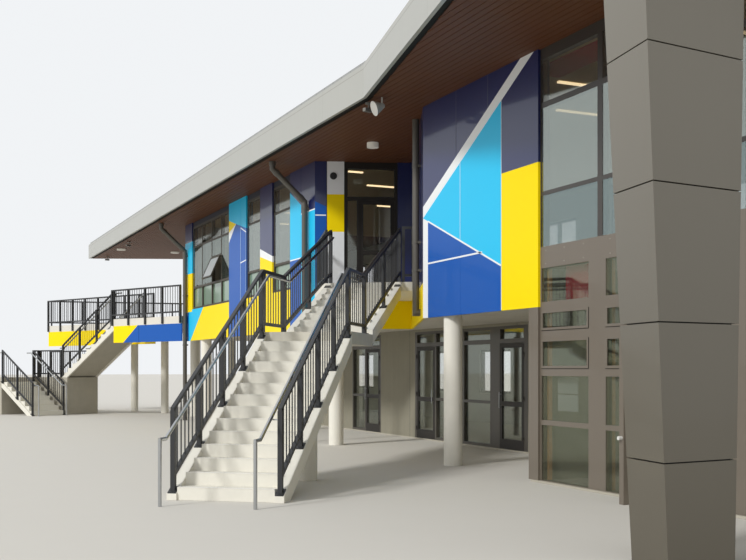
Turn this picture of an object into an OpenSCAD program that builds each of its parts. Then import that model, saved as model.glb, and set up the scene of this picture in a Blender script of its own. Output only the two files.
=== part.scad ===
// Two-storey school block: an overhanging first floor with coloured cladding,
// a wide flat eave on a tapered pylon, an entry porch cut back at an angle,
// a concrete stair up to it and a raised deck with a stair of its own.
// Plan sizes are measured from the left edge of the coloured front, along the facade.

/* [Levels] */
// Height of the first floor above the ground
floor_z = 3360; // [3280:10:3440]
// Height of the bottom edge of the cladding band
band_z = 2550; // [2480:10:2620]
// Height of the eave soffit
soffit_z = 6310; // [6250:10:6400]
// Depth of the roof fascia
fascia_h = 570; // [450:10:700]
// Rise of the roof ridge above the fascia top
ridge_rise = 320; // [200:10:500]
// Thickness of the ground-floor slab
slab_t = 30; // [20:5:60]
// Thickness of the first-floor slab
floor_t = 240; // [200:10:260]

/* [Plan] */
// Left end of the left wing
wing_x = -17000; // [-17600:50:-16800]
// Where the facade turns in to the porch
porch_x = -5320; // [-5400:20:-5240]
// Depth of the porch at its inner corner
porch_depth = 2050; // [1900:50:2200]
// Distance of the inner corner from the left edge of the coloured front
porch_run = 4600; // [4450:50:4700]
// Width of the coloured front
front_w = 3680; // [3600:20:3800]
// Right end of the building
right_x = 10400; // [10200:50:10600]
// Depth of the building
depth = 8000; // [7600:50:8400]
// How far the ground floor stands back under the first floor
undercroft = 2700; // [2500:50:2900]
// How far the rooms behind the deck stand back
deck_back = 4200; // [4000:50:4400]
// Left end of the rooms behind the deck
rear_x = -22500; // [-22800:50:-22000]

/* [Walls] */
// Thickness of an outer wall without its cladding
wall_t = 160; // [120:5:200]
// Thickness of the cladding panels
clad_t = 40; // [20:5:60]
// Gap between cladding panels
joint_w = 14; // [8:1:20]
// Width of the aluminium frame bars
bar_w = 60; // [45:1:75]
// Depth of the aluminium frames
frame_d = 100; // [80:5:120]
// Thickness of the glass
glass_t = 12; // [6:1:20]

/* [Roof] */
// Overhang of the eave along the left wing
eave = 1200; // [1100:50:1300]
// Where the eave line turns outwards
kink_x = 100; // [-200:50:400]
// Left end of the roof
roof_left = -28700; // [-28800:50:-28000]
// Right end of the roof
roof_right = 10900; // [10850:50:11000]
// Overhang of the eave at the right end
eave_right = 3500; // [3400:50:3700]
// How far the left edge of the roof leans across its depth
roof_skew = 4020; // [3600:20:4400]
// Overhang of the eave at the back
rear_eave = 1200; // [900:50:1400]
// Thickness of the soffit boards
soffit_t = 20; // [15:1:30]
// Thickness of the fascia sheet
fascia_t = 60; // [40:5:100]

/* [Main stair] */
// Height of one step
riser = 160; // [158:1:163]
// Depth of one step
going = 280; // [270:5:290]
// Steps in the lower flight
lower_steps = 14; // [13:1:15]
// Length of the half landing
landing_l = 1560; // [1500:10:1640]
// Steps in the upper flight
upper_steps = 8; // [7:1:9]
// Depth of a step of the upper flight
upper_going = 380; // [365:5:390]
// Clear width between the stringers
stair_w = 1280; // [1200:10:1360]
// Width of a stringer
stringer_w = 130; // [120:5:150]
// Upright depth of a stringer
stringer_d = 240; // [230:5:300]
// Thickness of the sloping slab under the steps
waist_t = 130; // [110:5:160]
// Thickness of the half landing
landing_t = 200; // [180:5:240]

/* [Balustrades] */
// Height of a balustrade above the steps
rail_h = 1005; // [955:5:1060]
// Size of a post
post_w = 60; // [50:2:64]
// Size of a rail
rail_w = 50; // [40:2:60]
// Size of a baluster
baluster_w = 14; // [12:1:16]
// Distance between balusters
baluster_gap = 125; // [100:5:150]
// Diameter of a handrail tube
tube_d = 46; // [38:1:50]

/* [Deck] */
// Length of the front edge of the deck beside the wing
deck_near = 3650; // [3500:50:3800]
// Length of the front edge of the deck behind its stair
deck_far = 6780; // [6500:20:7000]
// Width of the deck stair strip
deck_strip = 1750; // [1700:10:1900]
// Steps down from the deck to its half landing
deck_steps = 12; // [11:1:13]
// Depth of a step of the deck stair
deck_going = 290; // [280:2:300]
// Width of a flight of the deck stair
deck_flight_w = 1300; // [1200:20:1400]

/* [Columns and pylon] */
// Diameter of the columns
column_d = 320; // [280:10:360]
// Distance between the columns under the wing
column_pitch = 5300; // [5200:50:5400]
// Diameter of the thinner columns
thin_d = 280; // [240:10:300]
// Height of one course of pylon panels
course_h = 1140; // [1040:10:1240]
// Height of the lowest joint of the pylon panels
course_low = 890; // [800:10:980]
// Gap between pylon courses
course_gap = 12; // [8:1:16]
// Diameter of a downpipe
pipe_d = 130; // [100:5:140]

/* [Doors] */
// Height of a ground-floor door
door_h = 2140; // [2060:10:2160]
// Thickness of a door leaf
leaf_t = 45; // [38:1:50]
// Gap round a door leaf
leaf_gap = 8; // [7:0.5:9]
// Width of a door stile
stile_w = 85; // [70:5:100]

/* [Hidden] */
site_x = 9000;
site_y = -5000;
eps = 0.5;
fit = 1;
// Rotated pieces that rest on one another stand this far off
seat = 0.2;
top_z = soffit_z + fascia_h;
flat_t = clad_t + wall_t;

corner_a = [porch_x, 0];
corner_b = [-porch_run, porch_depth];
corner_c = [0, 0];
front_r = front_w;

// The first floor's outline, counter-clockwise on the outer face of the cladding
upper_plan = [[wing_x, 0], corner_a, corner_b, corner_c, [right_x, 0], [right_x, depth],
              [rear_x, depth], [rear_x, deck_back], [wing_x, deck_back]];

// Moves every side of an outline inwards by d
function turn(a, b, c, d) = let (u = (b - a) / norm(b - a), v = (c - b) / norm(c - b),
    m = [-u[1], u[0]], n = [-v[1], v[0]]) b + d * (m + n) / (1 + m * n);
function inset(plan, d) = let (n = len(plan))
    [for (i = [0:n - 1]) turn(plan[(i + n - 1) % n], plan[i], plan[(i + 1) % n], d)];

deck_angle = 205.16;
deck_dir = [cos(deck_angle), sin(deck_angle)];
deck_out = [-sin(deck_angle), cos(deck_angle)];
deck_start = [wing_x + 300, -200];
side_w = 60;
function deck_pt(t, off) = deck_start + deck_dir * t + deck_out * off;

stair_foot = [3918, -4754];
stair_dir = 143.75;
lower_k = riser / going;
lower_run = (lower_steps - 1) * going;
landing_z = lower_steps * riser;
upper_riser = (floor_z - landing_z) / upper_steps;
upper_k = upper_riser / upper_going;
upper_run = (upper_steps - 1) * upper_going;
upper_start = lower_run + landing_l;
stair_run = upper_start + upper_run;
side_y = stair_w / 2 + stringer_w;
post_y = stair_w / 2 + stringer_w / 2;
// The stringers stand this far under the line of the nosings
lift = -60;

function stair_pt(u, v) = stair_foot + [cos(stair_dir) * u - sin(stair_dir) * v,
                                        sin(stair_dir) * u + cos(stair_dir) * v];

deck_riser = 168;
deck_landing_z = floor_z - deck_steps * deck_riser;
deck_foot_steps = round(deck_landing_z / deck_riser);
deck_foot_riser = deck_landing_z / deck_foot_steps;
deck_run = (deck_steps - 1) * deck_going;
deck_foot_run = (deck_foot_steps - 1) * deck_going;

sill_z = 3540;
head_z = 6150;
rear_windows = [for (i = [0:9]) [600 + i * 3250, 2400 + i * 3250]];

// Moves a piece from plan sizes to the building's own origin.
module site() translate([site_x, site_y, 0]) children();

// Stands a flat outline up: its y becomes height, its thickness runs into the building.
module face(t) translate([0, t, 0]) rotate([90, 0, 0]) linear_extrude(t) children();

// Places a piece along the plan line from p to q, with the building on its left.
module on_line(p, q) translate([p[0], p[1], 0]) rotate([0, 0, atan2(q[1] - p[1], q[0] - p[0])]) children();

function span(p, q) = norm(q - p);

module rect(x0, x1, z0, z1) translate([x0, z0]) square([x1 - x0, z1 - z0]);

// Keeps what stands between two outlines along their side i, with mitred ends
module between(outer, inner, i) let (j = (i + 1) % len(outer),
                                     d = eps * (outer[j] - outer[i]) / norm(outer[j] - outer[i]))
    intersection() {
        children();
        linear_extrude(top_z) polygon([outer[i] + d, outer[j] - d, inner[j] - d, inner[i] + d]);
    }

// A wall along a line, from one end trim to the other, with holes [x0, x1, z0, z1].
module wall(p, q, z0, z1, holes = [], trim = [0, 0], back = clad_t, t = wall_t)
    on_line(p, q) translate([0, back, 0]) face(t) difference() {
        rect(trim[0], span(p, q) - trim[1], z0, z1);
        for (h = holes) rect(h[0], h[1], h[2], h[3]);
    }

// Cuts a flat outline into strips that stand just clear of each other.
module strips(xs) for (i = [0:len(xs) - 2]) intersection() {
    children();
    translate([xs[i] + eps, -20000]) square([xs[i + 1] - xs[i] - 2 * eps, 50000]);
}

// Panes between bars: xs and zs are the centre lines of the bars inside a frame.
function edges(size, lines) = concat([0], lines, [size]);
function pane(e, i, n) = [e[i] + (i == 0 ? bar_w : bar_w / 2), e[i + 1] - (i == n ? bar_w : bar_w / 2)];

module panes(w, h, xs, zs)
    let (ex = edges(w, xs), ez = edges(h, zs), nx = len(xs), nz = len(zs))
    for (i = [0:nx], j = [0:nz])
        let (a = pane(ex, i, nx), b = pane(ez, j, nz)) rect(a[0], a[1], b[0], b[1]);

module joinery(w, h, xs, zs) face(frame_d) difference() {
    square([w, h]);
    panes(w, h, xs, zs);
}

module glazing(w, h, xs, zs)
    translate([0, (frame_d - glass_t) / 2, 0]) face(glass_t) panes(w, h, xs, zs);

// Ground floor

lining_z = band_z + 30;
wall_z = lining_z + 20 + seat;
slab_under = floor_z - floor_t;
side_x = front_r - flat_t;
module ground_slab() color("darkgray") site() linear_extrude(slab_t) strips([rear_x, wing_x + 800, side_x, right_x])
    polygon([[rear_x, depth], [rear_x, deck_back], [wing_x + 800, deck_back], [wing_x + 800, undercroft],
             [side_x, undercroft], [side_x, 0], [right_x, 0], [right_x, depth]]);

doors = [[-8600, -7745], [-5625, -4720], [-1850, -950]];
screens = [[-9500, -7660], [-5720, -3400], [-3400, -800]];
screen_top = slab_t + door_h + 350;
module ground_front_wall() color("dimgray") site() {
    solid_parts = [[wing_x + 800, screens[0][0]], [screens[0][1], screens[1][0]], [screens[2][1], side_x - eps]];
    for (s = solid_parts)
        translate([s[0], undercroft, slab_t]) cube([s[1] - s[0], flat_t, slab_under - slab_t]);
    for (s = [[screens[0][0], screens[0][1]], [screens[1][0], screens[2][1]]])
        translate([s[0] + eps, undercroft, screen_top])
            cube([s[1] - s[0] - 2 * eps, flat_t, slab_under - screen_top]);
    // The side wall: low under the coloured front, full height behind it
    translate([side_x, 0, 0]) rotate([90, 0, 90]) linear_extrude(flat_t) polygon([
        [clad_t, slab_t], [undercroft + flat_t, slab_t], [undercroft + flat_t, slab_under],
        [flat_t + eps, slab_under], [flat_t + eps, lining_z], [clad_t, lining_z]]);
}

rear_holes = [for (z = [[slab_t + 900, slab_t + 2200], [floor_z + 900, floor_z + 2300]], w = rear_windows)
    [w[0], w[1], z[0], z[1]]];
end_windows = [[1500, 3300], [4600, 6400]];
end_holes = [for (z = [[slab_t + 900, slab_t + 2200], [floor_z + 900, floor_z + 2300]], w = end_windows)
    [w[0], w[1], z[0], z[1]]];
deck_door = [1200, 2200];
deck_windows = [[2900, 4700]];
deck_holes = concat([[deck_door[0], deck_door[1], floor_z, floor_z + 2100]],
                    [for (w = deck_windows) [w[0], w[1], floor_z + 900, floor_z + 2300]]);
module outer_walls() color("lightgray") site() {
    wall([right_x, depth], [rear_x, depth], slab_t, soffit_z, rear_holes, [0, 0], 0, flat_t);
    wall([right_x, 0], [right_x, depth], slab_t, soffit_z, end_holes, [0, flat_t + eps], 0, flat_t);
    wall([rear_x, depth], [rear_x, deck_back], slab_t, soffit_z, [], [flat_t + eps, 0], 0, flat_t);
    wall([rear_x, deck_back], [wing_x, deck_back], slab_t, soffit_z, deck_holes, [flat_t + eps, 0], 0, flat_t);
    wall([wing_x, deck_back], [wing_x, 0], wall_z, soffit_z, [], [eps, flat_t], 0, flat_t);
}

// First floor

wing_windows = [[-16150, -12040, [1090, 2175, 3196]], [-10440, -9240, []], [-8270, -6960, []]];
wing_holes = [for (w = wing_windows) [w[0] - wing_x, w[1] - wing_x, sill_z, head_z]];
porch_frame = [675, 1850];

// The outer and inner faces of the front walls, square at the left end
function square_start(plan, d) = [for (i = [0:len(plan) - 1]) i == 0 ? [wing_x, d] : plan[i]];
wall_outer = square_start(inset(upper_plan, clad_t), clad_t);
wall_inner = square_start(inset(upper_plan, flat_t), flat_t);
wall_top = soffit_z - seat;

module front_walls() color("midnightblue") site() {
    between(wall_outer, wall_inner, 0) wall([wing_x, 0], corner_a, wall_z, wall_top, wing_holes);
    between(wall_outer, wall_inner, 1) wall(corner_a, corner_b, wall_z, wall_top,
        [[porch_frame[0], porch_frame[1], floor_z, soffit_z - 10]], [-200, -200]);
    between(wall_outer, wall_inner, 2) wall(corner_b, corner_c, wall_z, wall_top, [], [-200, -200]);
    between(wall_outer, wall_inner, 3) wall(corner_c, [front_r, 0], wall_z, wall_top, [], [-200, 0]);
}

floor_cuts = [rear_x, wing_x + flat_t, porch_x - flat_t / 2, -porch_run, 0, right_x];
module first_floor_slab() color("gray") site() translate([0, 0, slab_under]) linear_extrude(floor_t)
    strips(floor_cuts) polygon(inset(upper_plan, flat_t + seat));

module undercroft_soffit() color("darkkhaki") site() translate([0, 0, lining_z]) linear_extrude(20)
    strips([wing_x, wing_x + 800, porch_x, -porch_run, 0, side_x]) intersection() {
        polygon(inset(upper_plan, clad_t + seat));
        union() {
            translate([wing_x, 0]) square([side_x - wing_x, undercroft]);
            translate([wing_x, 0]) square([800, deck_back]);
        }
    }

// Roof

roof_line = [[roof_left, -eave], [kink_x, -eave], [roof_right, -eave_right],
             [roof_right, depth + rear_eave], [roof_left + roof_skew, depth + rear_eave]];
roof_inner = inset(roof_line, fascia_t);
roof_core = inset(roof_line, fascia_t + 0.3);
roof_cuts = [roof_left, kink_x, roof_right];

module eave_soffit() color("sienna") site() translate([0, 0, soffit_z]) linear_extrude(soffit_t)
    strips(roof_cuts) polygon(roof_core);

// Low slopes rise from the fascia to a ridge along the middle
module roof_build_up() color("silver") site() intersection() {
    translate([0, 0, soffit_z + soffit_t]) linear_extrude(fascia_h + ridge_rise)
        strips(roof_cuts) polygon(roof_core);
    translate([roof_left, 0, 0]) rotate([90, 0, 90]) linear_extrude(roof_right - roof_left) polygon([
        [-eave_right, soffit_z], [-eave_right, top_z - 40], [(depth - eave) / 2, top_z + ridge_rise],
        [depth + rear_eave, top_z - 40], [depth + rear_eave, soffit_z]]);
}

// One mitred length of fascia for each side of the roof
module roof_fascia() color("gainsboro") site() for (i = [0:4])
    let (j = (i + 1) % 5, d = eps * (roof_line[j] - roof_line[i]) / norm(roof_line[j] - roof_line[i]))
    translate([0, 0, soffit_z]) linear_extrude(fascia_h)
        polygon([roof_line[i] + d, roof_line[j] - d, roof_inner[j] - d, roof_inner[i] + d]);

// Coloured cladding of side i of the first floor: each region is an outline in length and height

module clad(i, regions, slots = []) between(upper_plan, wall_outer, i)
    on_line(upper_plan[i], upper_plan[i + 1]) face(clad_t) difference() {
        for (r = regions) polygon(r);
        for (s = slots) translate([s - joint_w / 2, 0]) square([joint_w, top_z]);
    }

function box(x0, x1, z0, z1) = [[x0, z0], [x1, z0], [x1, z1], [x0, z1]];

// Along the wing, where a pier stands between two windows, its panel stops just short of both
function along(x) = x - wing_x;
function sloped(x0, x1, low, high) = [[along(x0) + fit, low[0]], [along(x1) - fit, low[1]],
                                      [along(x1) - fit, high[1]], [along(x0) + fit, high[0]]];
function pier(x0, x1, z0, z1) = sloped(x0, x1, [z0, z0], [z1, z1]);

clad_top = soffit_z - eps;
under_sill = sill_z - eps;
window_a = wing_windows[0];
window_b = wing_windows[1];
window_c = wing_windows[2];
pier_joint = -6210;
wing_joints = [along(-10940), along(pier_joint)];
// The point of the small triangles beside the first window
tip = [along(-11365), 5651];

// Lines of the coloured front: a white diagonal with blues either side of it
diag_low = 4320;
diag_high = 4520;
diag_slope = 0.554;
tri_slope = -0.405;
tri_top = diag_low;
yellow_x = 2655;
yellow_top = 4660;
edge_w = 190;
function diag(x, z0) = z0 + diag_slope * x;
function under(x) = tri_top + tri_slope * x;
front_joint = 1350;
blue_end = yellow_x - joint_w / 2;
yellow_start = yellow_x + joint_w / 2;
return_l = norm(corner_c - corner_b);
porch_l = norm(corner_b - corner_a);
strip_u = 266;
band_top = floor_z - floor_t;
return_z = 3180;

module navy_panels() color("navy") site() {
    clad(3, [
        [[0, diag_high], [(clad_top - diag_high) / diag_slope, clad_top], [0, clad_top]],
        [[yellow_start, yellow_top], [front_w, yellow_top], [front_w, clad_top],
         [(clad_top - diag_low) / diag_slope, clad_top], [yellow_start, diag(yellow_x, diag_low)]]],
        [1210]);
    clad(1, [[[0, 5400], [strip_u, 5280], [strip_u, clad_top], [0, clad_top]],
             box(1865, porch_l + 100, floor_z, clad_top)], [strip_u]);
    clad(2, [box(-100, return_l, return_z, clad_top)], [1250, 2500, 3750]);
    clad(0, [
        pier(wing_x, window_a[0], 5700, clad_top),
        sloped(window_b[1], window_c[0], [4740, 4464], [clad_top, clad_top]),
        sloped(window_c[1], pier_joint, [5834, 5442], [clad_top, clad_top]),
        box(along(pier_joint), along(porch_x), 5230, clad_top)], wing_joints);
}

module cobalt_panels() color("royalblue") site() {
    clad(3, [[[edge_w, band_z], [blue_end, band_z], [blue_end, under(blue_end)], [edge_w, under(edge_w)]]],
         [front_joint]);
    clad(1, [[[0, floor_z], [strip_u, floor_z], [strip_u, 5280], [0, 5400]]], [strip_u]);
    clad(0, [
        box(0, along(-16550), band_z, 3470),
        [[along(window_a[1]) + fit, band_z], [along(window_b[0]) - fit, band_z],
         [along(window_b[0]) - fit, 5430], tip, [along(window_a[1]) + fit, 5200]],
        pier(window_c[1], pier_joint, band_z, 4217)], wing_joints);
    on_deck_edge() face(clad_t) difference() {
        polygon([[550, band_z], [deck_near, band_z], [deck_near, band_top], [1350, band_top]]);
        translate([1400, 0]) square([joint_w, top_z]);
    }
}

module cyan_panels() color("deepskyblue") site() {
    clad(3, [[[0, diag_low], [blue_end, under(blue_end)], [blue_end, diag(blue_end, diag_low)]]],
         [front_joint]);
    clad(0, [
        pier(wing_x, window_a[0], 4690, 5700),
        [[along(-16550), band_z], [along(-16350), band_z], [along(-14800), under_sill],
         [along(window_a[0]), under_sill], [along(window_a[0]), 3470], [along(-16550), 3470]],
        [[along(window_a[1]) + fit, 5821], tip, [along(window_b[0]) - fit, 5430],
         [along(window_b[0]) - fit, clad_top], [along(window_a[1]) + fit, clad_top]],
        sloped(window_c[1], pier_joint, [4217, 4217], [5834, 5442]),
        box(along(pier_joint), along(porch_x), band_z, 5230)], wing_joints);
}

module yellow_panels() color("gold") site() {
    clad(3, [box(yellow_start, front_w, band_z, yellow_top)]);
    clad(0, [
        pier(wing_x, window_a[0], 3470, 4690),
        [[along(-16350), band_z], [along(window_a[1]), band_z], [along(window_a[1]), under_sill],
         [along(-14800), under_sill]],
        [[along(window_a[1]) + fit, 5483], tip, [along(window_a[1]) + fit, 5821]],
        sloped(window_b[1], window_c[0], [band_z, band_z], [4534, 4315]),
        box(along(window_b[0]) + fit, along(window_b[1]), band_z, under_sill),
        box(along(window_c[0]), along(window_c[1]) - fit, band_z, under_sill)]);
    clad(1, [box(strip_u, 655, 4720, 5560), box(0, porch_l + 100, band_z, floor_z - eps)], [strip_u]);
    clad(2, [box(-100, return_l, band_z, return_z)]);
    on_deck_edge() face(clad_t) polygon([[0, band_z], [550, band_z], [1350, band_top], [0, band_top]]);
    on_far_edge() face(clad_t) rect(0, deck_far, band_z, band_top);
}

module white_panels() color("white") site() {
    clad(3, [
        [[0, diag_low], [(clad_top - diag_low) / diag_slope, clad_top],
         [(clad_top - diag_high) / diag_slope, clad_top], [0, diag_high]],
        [[0, band_z], [edge_w, band_z], [edge_w, under(edge_w) - eps], [0, diag_low - 2]]]);
    clad(1, [box(strip_u, 655, 5560, clad_top), box(strip_u, 655, floor_z, 4720)], [strip_u]);
    clad(0, [
        [[along(window_a[1]) + fit, 5200], tip, [along(window_a[1]) + fit, 5483]],
        sloped(window_b[1], window_c[0], [4534, 4315], [4740, 4464])]);
}

// Joinery of the first floor

wing_zs = [4220 - sill_z, 5500 - sill_z];

// Every first-floor and rear window in its place: children take width, height, uprights, bars
module at_windows(glass) {
    for (w = wing_windows) translate([w[0], clad_t, sill_z])
        window(glass, w[1] - w[0], head_z - sill_z, w[2], wing_zs);
    for (h = rear_holes) on_line([right_x, depth], [rear_x, depth]) hole_window(glass, h);
    for (h = end_holes) on_line([right_x, 0], [right_x, depth]) hole_window(glass, h);
    for (h = deck_holes) on_line([rear_x, deck_back], [wing_x, deck_back]) hole_window(glass, h);
}
module window(glass, w, h, xs, zs) if (glass) glazing(w, h, xs, zs); else joinery(w, h, xs, zs);
module hole_window(glass, h) translate([h[0], clad_t, h[2]])
    window(glass, h[1] - h[0], h[3] - h[2], h[1] - h[0] > 1500 ? [(h[1] - h[0]) / 2] : [], []);

// One light of the long window stands open: a sash hung at its top and pushed out at its foot
sash = [-13945, -12984];
sash_zs = [4250, 4950];
sash_tilt = 24;
module sash_place() translate([sash[0], clad_t, sash_zs[1]]) rotate([-sash_tilt, 0, 0])
    translate([0, 0, sash_zs[0] - sash_zs[1]]) children();
module sash_frame() {
    sash_w = sash[1] - sash[0];
    sash_h = sash_zs[1] - sash_zs[0];
    translate([sash[0] - 5, clad_t, sash_zs[1]]) cube([sash_w + 10, frame_d, 50]);
    sash_place() translate([0, -45, 0]) face(40) difference() {
        square([sash_w, sash_h]);
        rect(45, sash_w - 45, 45, sash_h - 45);
    }
}
module window_frames() color("darkslategray") site() {
    at_windows(false);
    sash_frame();
}

module low_lights() for (w = wing_windows) translate([w[0], 0, sill_z - 1])
    cube([w[1] - w[0], clad_t + frame_d, 4220 - sill_z]);

module upper_glass() color("lightcyan", 0.5) site() {
    difference() {
        at_windows(true);
        low_lights();
        translate([sash[0] - 20, 0, 4000])
            cube([sash[1] - sash[0] + 40, clad_t + frame_d, sash_zs[1] + 50 - 4000]);
    }
    sash_place() translate([0, -31, 0]) face(glass_t)
        rect(45, sash[1] - sash[0] - 45, 45, sash_zs[1] - sash_zs[0] - 45);
    translate([0, clad_t + (frame_d - glass_t) / 2, 0]) face(glass_t) high_panes();
    on_line(corner_a, corner_b) translate([porch_frame[0], clad_t + (frame_d - glass_t) / 2, 0]) face(glass_t)
        porch_panes();
    on_line(corner_a, corner_b) porch_leaf_place() leaf_glass(porch_leaf_w, porch_leaf_h);
}

module spandrel_glass() color("darkseagreen") site() intersection() {
    at_windows(true);
    low_lights();
}

// The tall glazed wall: rows of panes between broad uprights below and slim ones above
glazed_right = right_x - flat_t;
glazed_pitch = 1350;
glazed_low = [[slab_t + 10, 840], [910, 1550], [1660, 2080], [2210, 2490], [2620, 3110]];
glazed_high = [[3420, 4160], [4220, 5430], [5510, 6130]];
module bays(first, half, rows) for (i = [0:4], r = rows)
    rect(front_r + (i == 0 ? 30 : first + (i - 1) * glazed_pitch + half),
         i == 4 ? glazed_right - 60 : front_r + first + i * glazed_pitch - half, r[0], r[1]);
module low_panes() bays(1360, 190, glazed_low);
module high_panes() bays(1425, 55, glazed_high);

jamb_w = 250;
fin = [2475, 2560];
fin_out = 450;
fin_h = 2150;
module glazed_wall_frame() color("dimgray") site() {
    translate([0, clad_t, 0]) face(frame_d) difference() {
        rect(front_r, glazed_right, slab_t, soffit_z);
        low_panes();
        high_panes();
    }
    // The cover over the end of the side wall
    translate([front_r - jamb_w, 0, slab_t]) cube([jamb_w, clad_t - seat, band_z - seat - slab_t]);
    // The upright blade beside the pylon
    translate([front_r + fin[0], 0, 0]) rotate([90, 0, 90]) linear_extrude(fin[1] - fin[0]) polygon([
        [-fin_out, 0], [-seat, 0], [-seat, slab_t + seat], [clad_t - seat, slab_t + seat],
        [clad_t - seat, fin_h], [-fin_out, fin_h]]);
}

module ground_glass() color("lightcyan", 0.5) site() {
    translate([0, clad_t + (frame_d - glass_t) / 2, 0]) face(glass_t) low_panes();
    translate([0, undercroft + (frame_d - glass_t) / 2, 0]) face(glass_t)
        for (p = screen_lights) rect(p[0], p[1], p[2], p[3]);
}

// Ground-floor screens: bars beside and over the doorways, so that a leaf stands clear
head_bar = slab_t + door_h;
lights_x = [[-9440, -8670], [-4640, -4010], [-3950, -3460], [-3340, -2240]];
screen_lights = concat(
    [for (x = lights_x) each [[x[0], x[1], slab_t + bar_w, 930], [x[0], x[1], 990, head_bar],
                              [x[0], x[1], head_bar + 90, screen_top - bar_w]]],
    [for (d = doors) [d[0] + 10, d[1] - 10, head_bar + 90, screen_top - bar_w]]);
screen_parts = [[screens[0][0], doors[0][0]], [doors[0][1], screens[0][1]],
                [screens[1][0], doors[1][0]], [doors[1][1], screens[1][1]],
                [screens[2][0], doors[2][0]], [doors[2][1], screens[2][1]]];
module ground_screens() color("darkslategray") site() {
    translate([0, undercroft, 0]) {
        for (s = screen_parts) let (a = len([for (d = doors) if (d[1] == s[0]) 1]) > 0 ? leaf_gap : 0,
                                    b = len([for (d = doors) if (d[0] == s[1]) 1]) > 0 ? leaf_gap : 0)
            face(frame_d) difference() {
                rect(s[0] + a + eps / 2, s[1] - b - eps / 2, slab_t, screen_top);
                for (p = screen_lights) rect(p[0], p[1], p[2], p[3]);
            }
        for (d = doors) face(frame_d) difference() {
            rect(d[0] - leaf_gap + eps, d[1] + leaf_gap - eps, head_bar, screen_top);
            for (p = screen_lights) rect(p[0], p[1], p[2], p[3]);
        }
    }
    for (i = [0:2]) at_hinges(i) frame_knuckle();
}

// The porch screen: a top light over a bar, a narrow light and the upper door
porch_w = porch_frame[1] - porch_frame[0];
porch_head = 5440;
porch_leaf = [330, 1115];
porch_leaf_w = porch_leaf[1] - porch_leaf[0] - 2 * eps;
porch_leaf_h = porch_head - floor_z - 2 * eps;
module porch_panes() {
    rect(bar_w, porch_w - bar_w, porch_head + 80, soffit_z - 160);
    rect(bar_w, porch_leaf[0] - bar_w, floor_z + 90, porch_head);
}
module porch_leaf_place() translate([porch_frame[0] + porch_leaf[0] + eps, clad_t + 20, floor_z + eps])
    children();
module porch_screen() color("darkslategray") site() on_line(corner_a, corner_b) {
    translate([porch_frame[0], clad_t, 0]) face(frame_d) difference() {
        rect(0, porch_w, floor_z, soffit_z - 10);
        porch_panes();
        rect(porch_leaf[0], porch_leaf[1], floor_z, porch_head);
    }
    porch_leaf_place() leaf_frame(porch_leaf_w, porch_leaf_h);
}

// A door leaf, its left edge and foot at the origin
mid_rail = [860, 960];
foot_rail = 200;
module leaf_frame(w, h) face(leaf_t) difference() {
    square([w, h]);
    leaf_panes(w, h);
}
module leaf_panes(w, h) {
    rect(stile_w, w - stile_w, foot_rail, mid_rail[0]);
    rect(stile_w, w - stile_w, mid_rail[1], h - stile_w);
}
module leaf_glass(w, h) translate([0, (leaf_t - glass_t) / 2, 0]) face(glass_t) leaf_panes(w, h);

leaf_h = door_h - 2 * leaf_gap;
function leaf_w(i) = doors[i][1] - doors[i][0];
module at_leaf(i) site() translate([doors[i][0], undercroft, slab_t + leaf_gap]) children();

// Hinges: the frame carries a knuckle with a pin, the leaf a barrel that turns on it.
// The side is -1 for a door hung on its left, 1 on its right.
hung = [1, -1, 1];
knuckle_r = 7;
knuckle_h = 45;
pin_r = 4.5;
pin_fit = 0.08;
hinge_out = 12;
hinge_zs = [180, 980, leaf_h - 270];
function pivot_x(i) = doors[i][hung[i] > 0 ? 1 : 0] + hung[i] * leaf_gap / 2;
module at_hinges(i) for (z = hinge_zs)
    translate([pivot_x(i), undercroft - hinge_out, slab_t + leaf_gap + z])
        mirror([hung[i] > 0 ? 1 : 0, 0, 0]) children();
module hinge_strap(s) {
    translate([s > 0 ? 0.5 : -7, 0, 0]) cube([6.5, hinge_out, knuckle_h]);
    translate([s > 0 ? 0.5 : -40.5, hinge_out - 3, 0]) cube([40, 3, knuckle_h]);
}
module frame_knuckle() {
    hinge_strap(-1);
    cylinder(r = knuckle_r, h = knuckle_h, $fn = 32);
    cylinder(r = pin_r, h = 2 * knuckle_h, $fn = 32);
}
module leaf_barrel() translate([0, 0, knuckle_h + 0.3]) difference() {
    union() {
        hinge_strap(1);
        cylinder(r = knuckle_r, h = knuckle_h, $fn = 32);
    }
    translate([0, 0, -1]) cylinder(r = pin_r + pin_fit, h = knuckle_h + 2, $fn = 32);
}
module hung_leaf(i) color("darkslategray") {
    at_leaf(i) leaf_frame(leaf_w(i), leaf_h);
    site() at_hinges(i) leaf_barrel();
}

module door_left_leaf() hung_leaf(0);
module door_left_glass() color("lightcyan") at_leaf(0) leaf_glass(leaf_w(0), leaf_h);
module door_middle_leaf() hung_leaf(1);
module door_middle_glass() color("lightcyan") at_leaf(1) leaf_glass(leaf_w(1), leaf_h);
module door_right_leaf() hung_leaf(2);
module door_right_glass() color("lightcyan") at_leaf(2) leaf_glass(leaf_w(2), leaf_h);

// Columns

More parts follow.
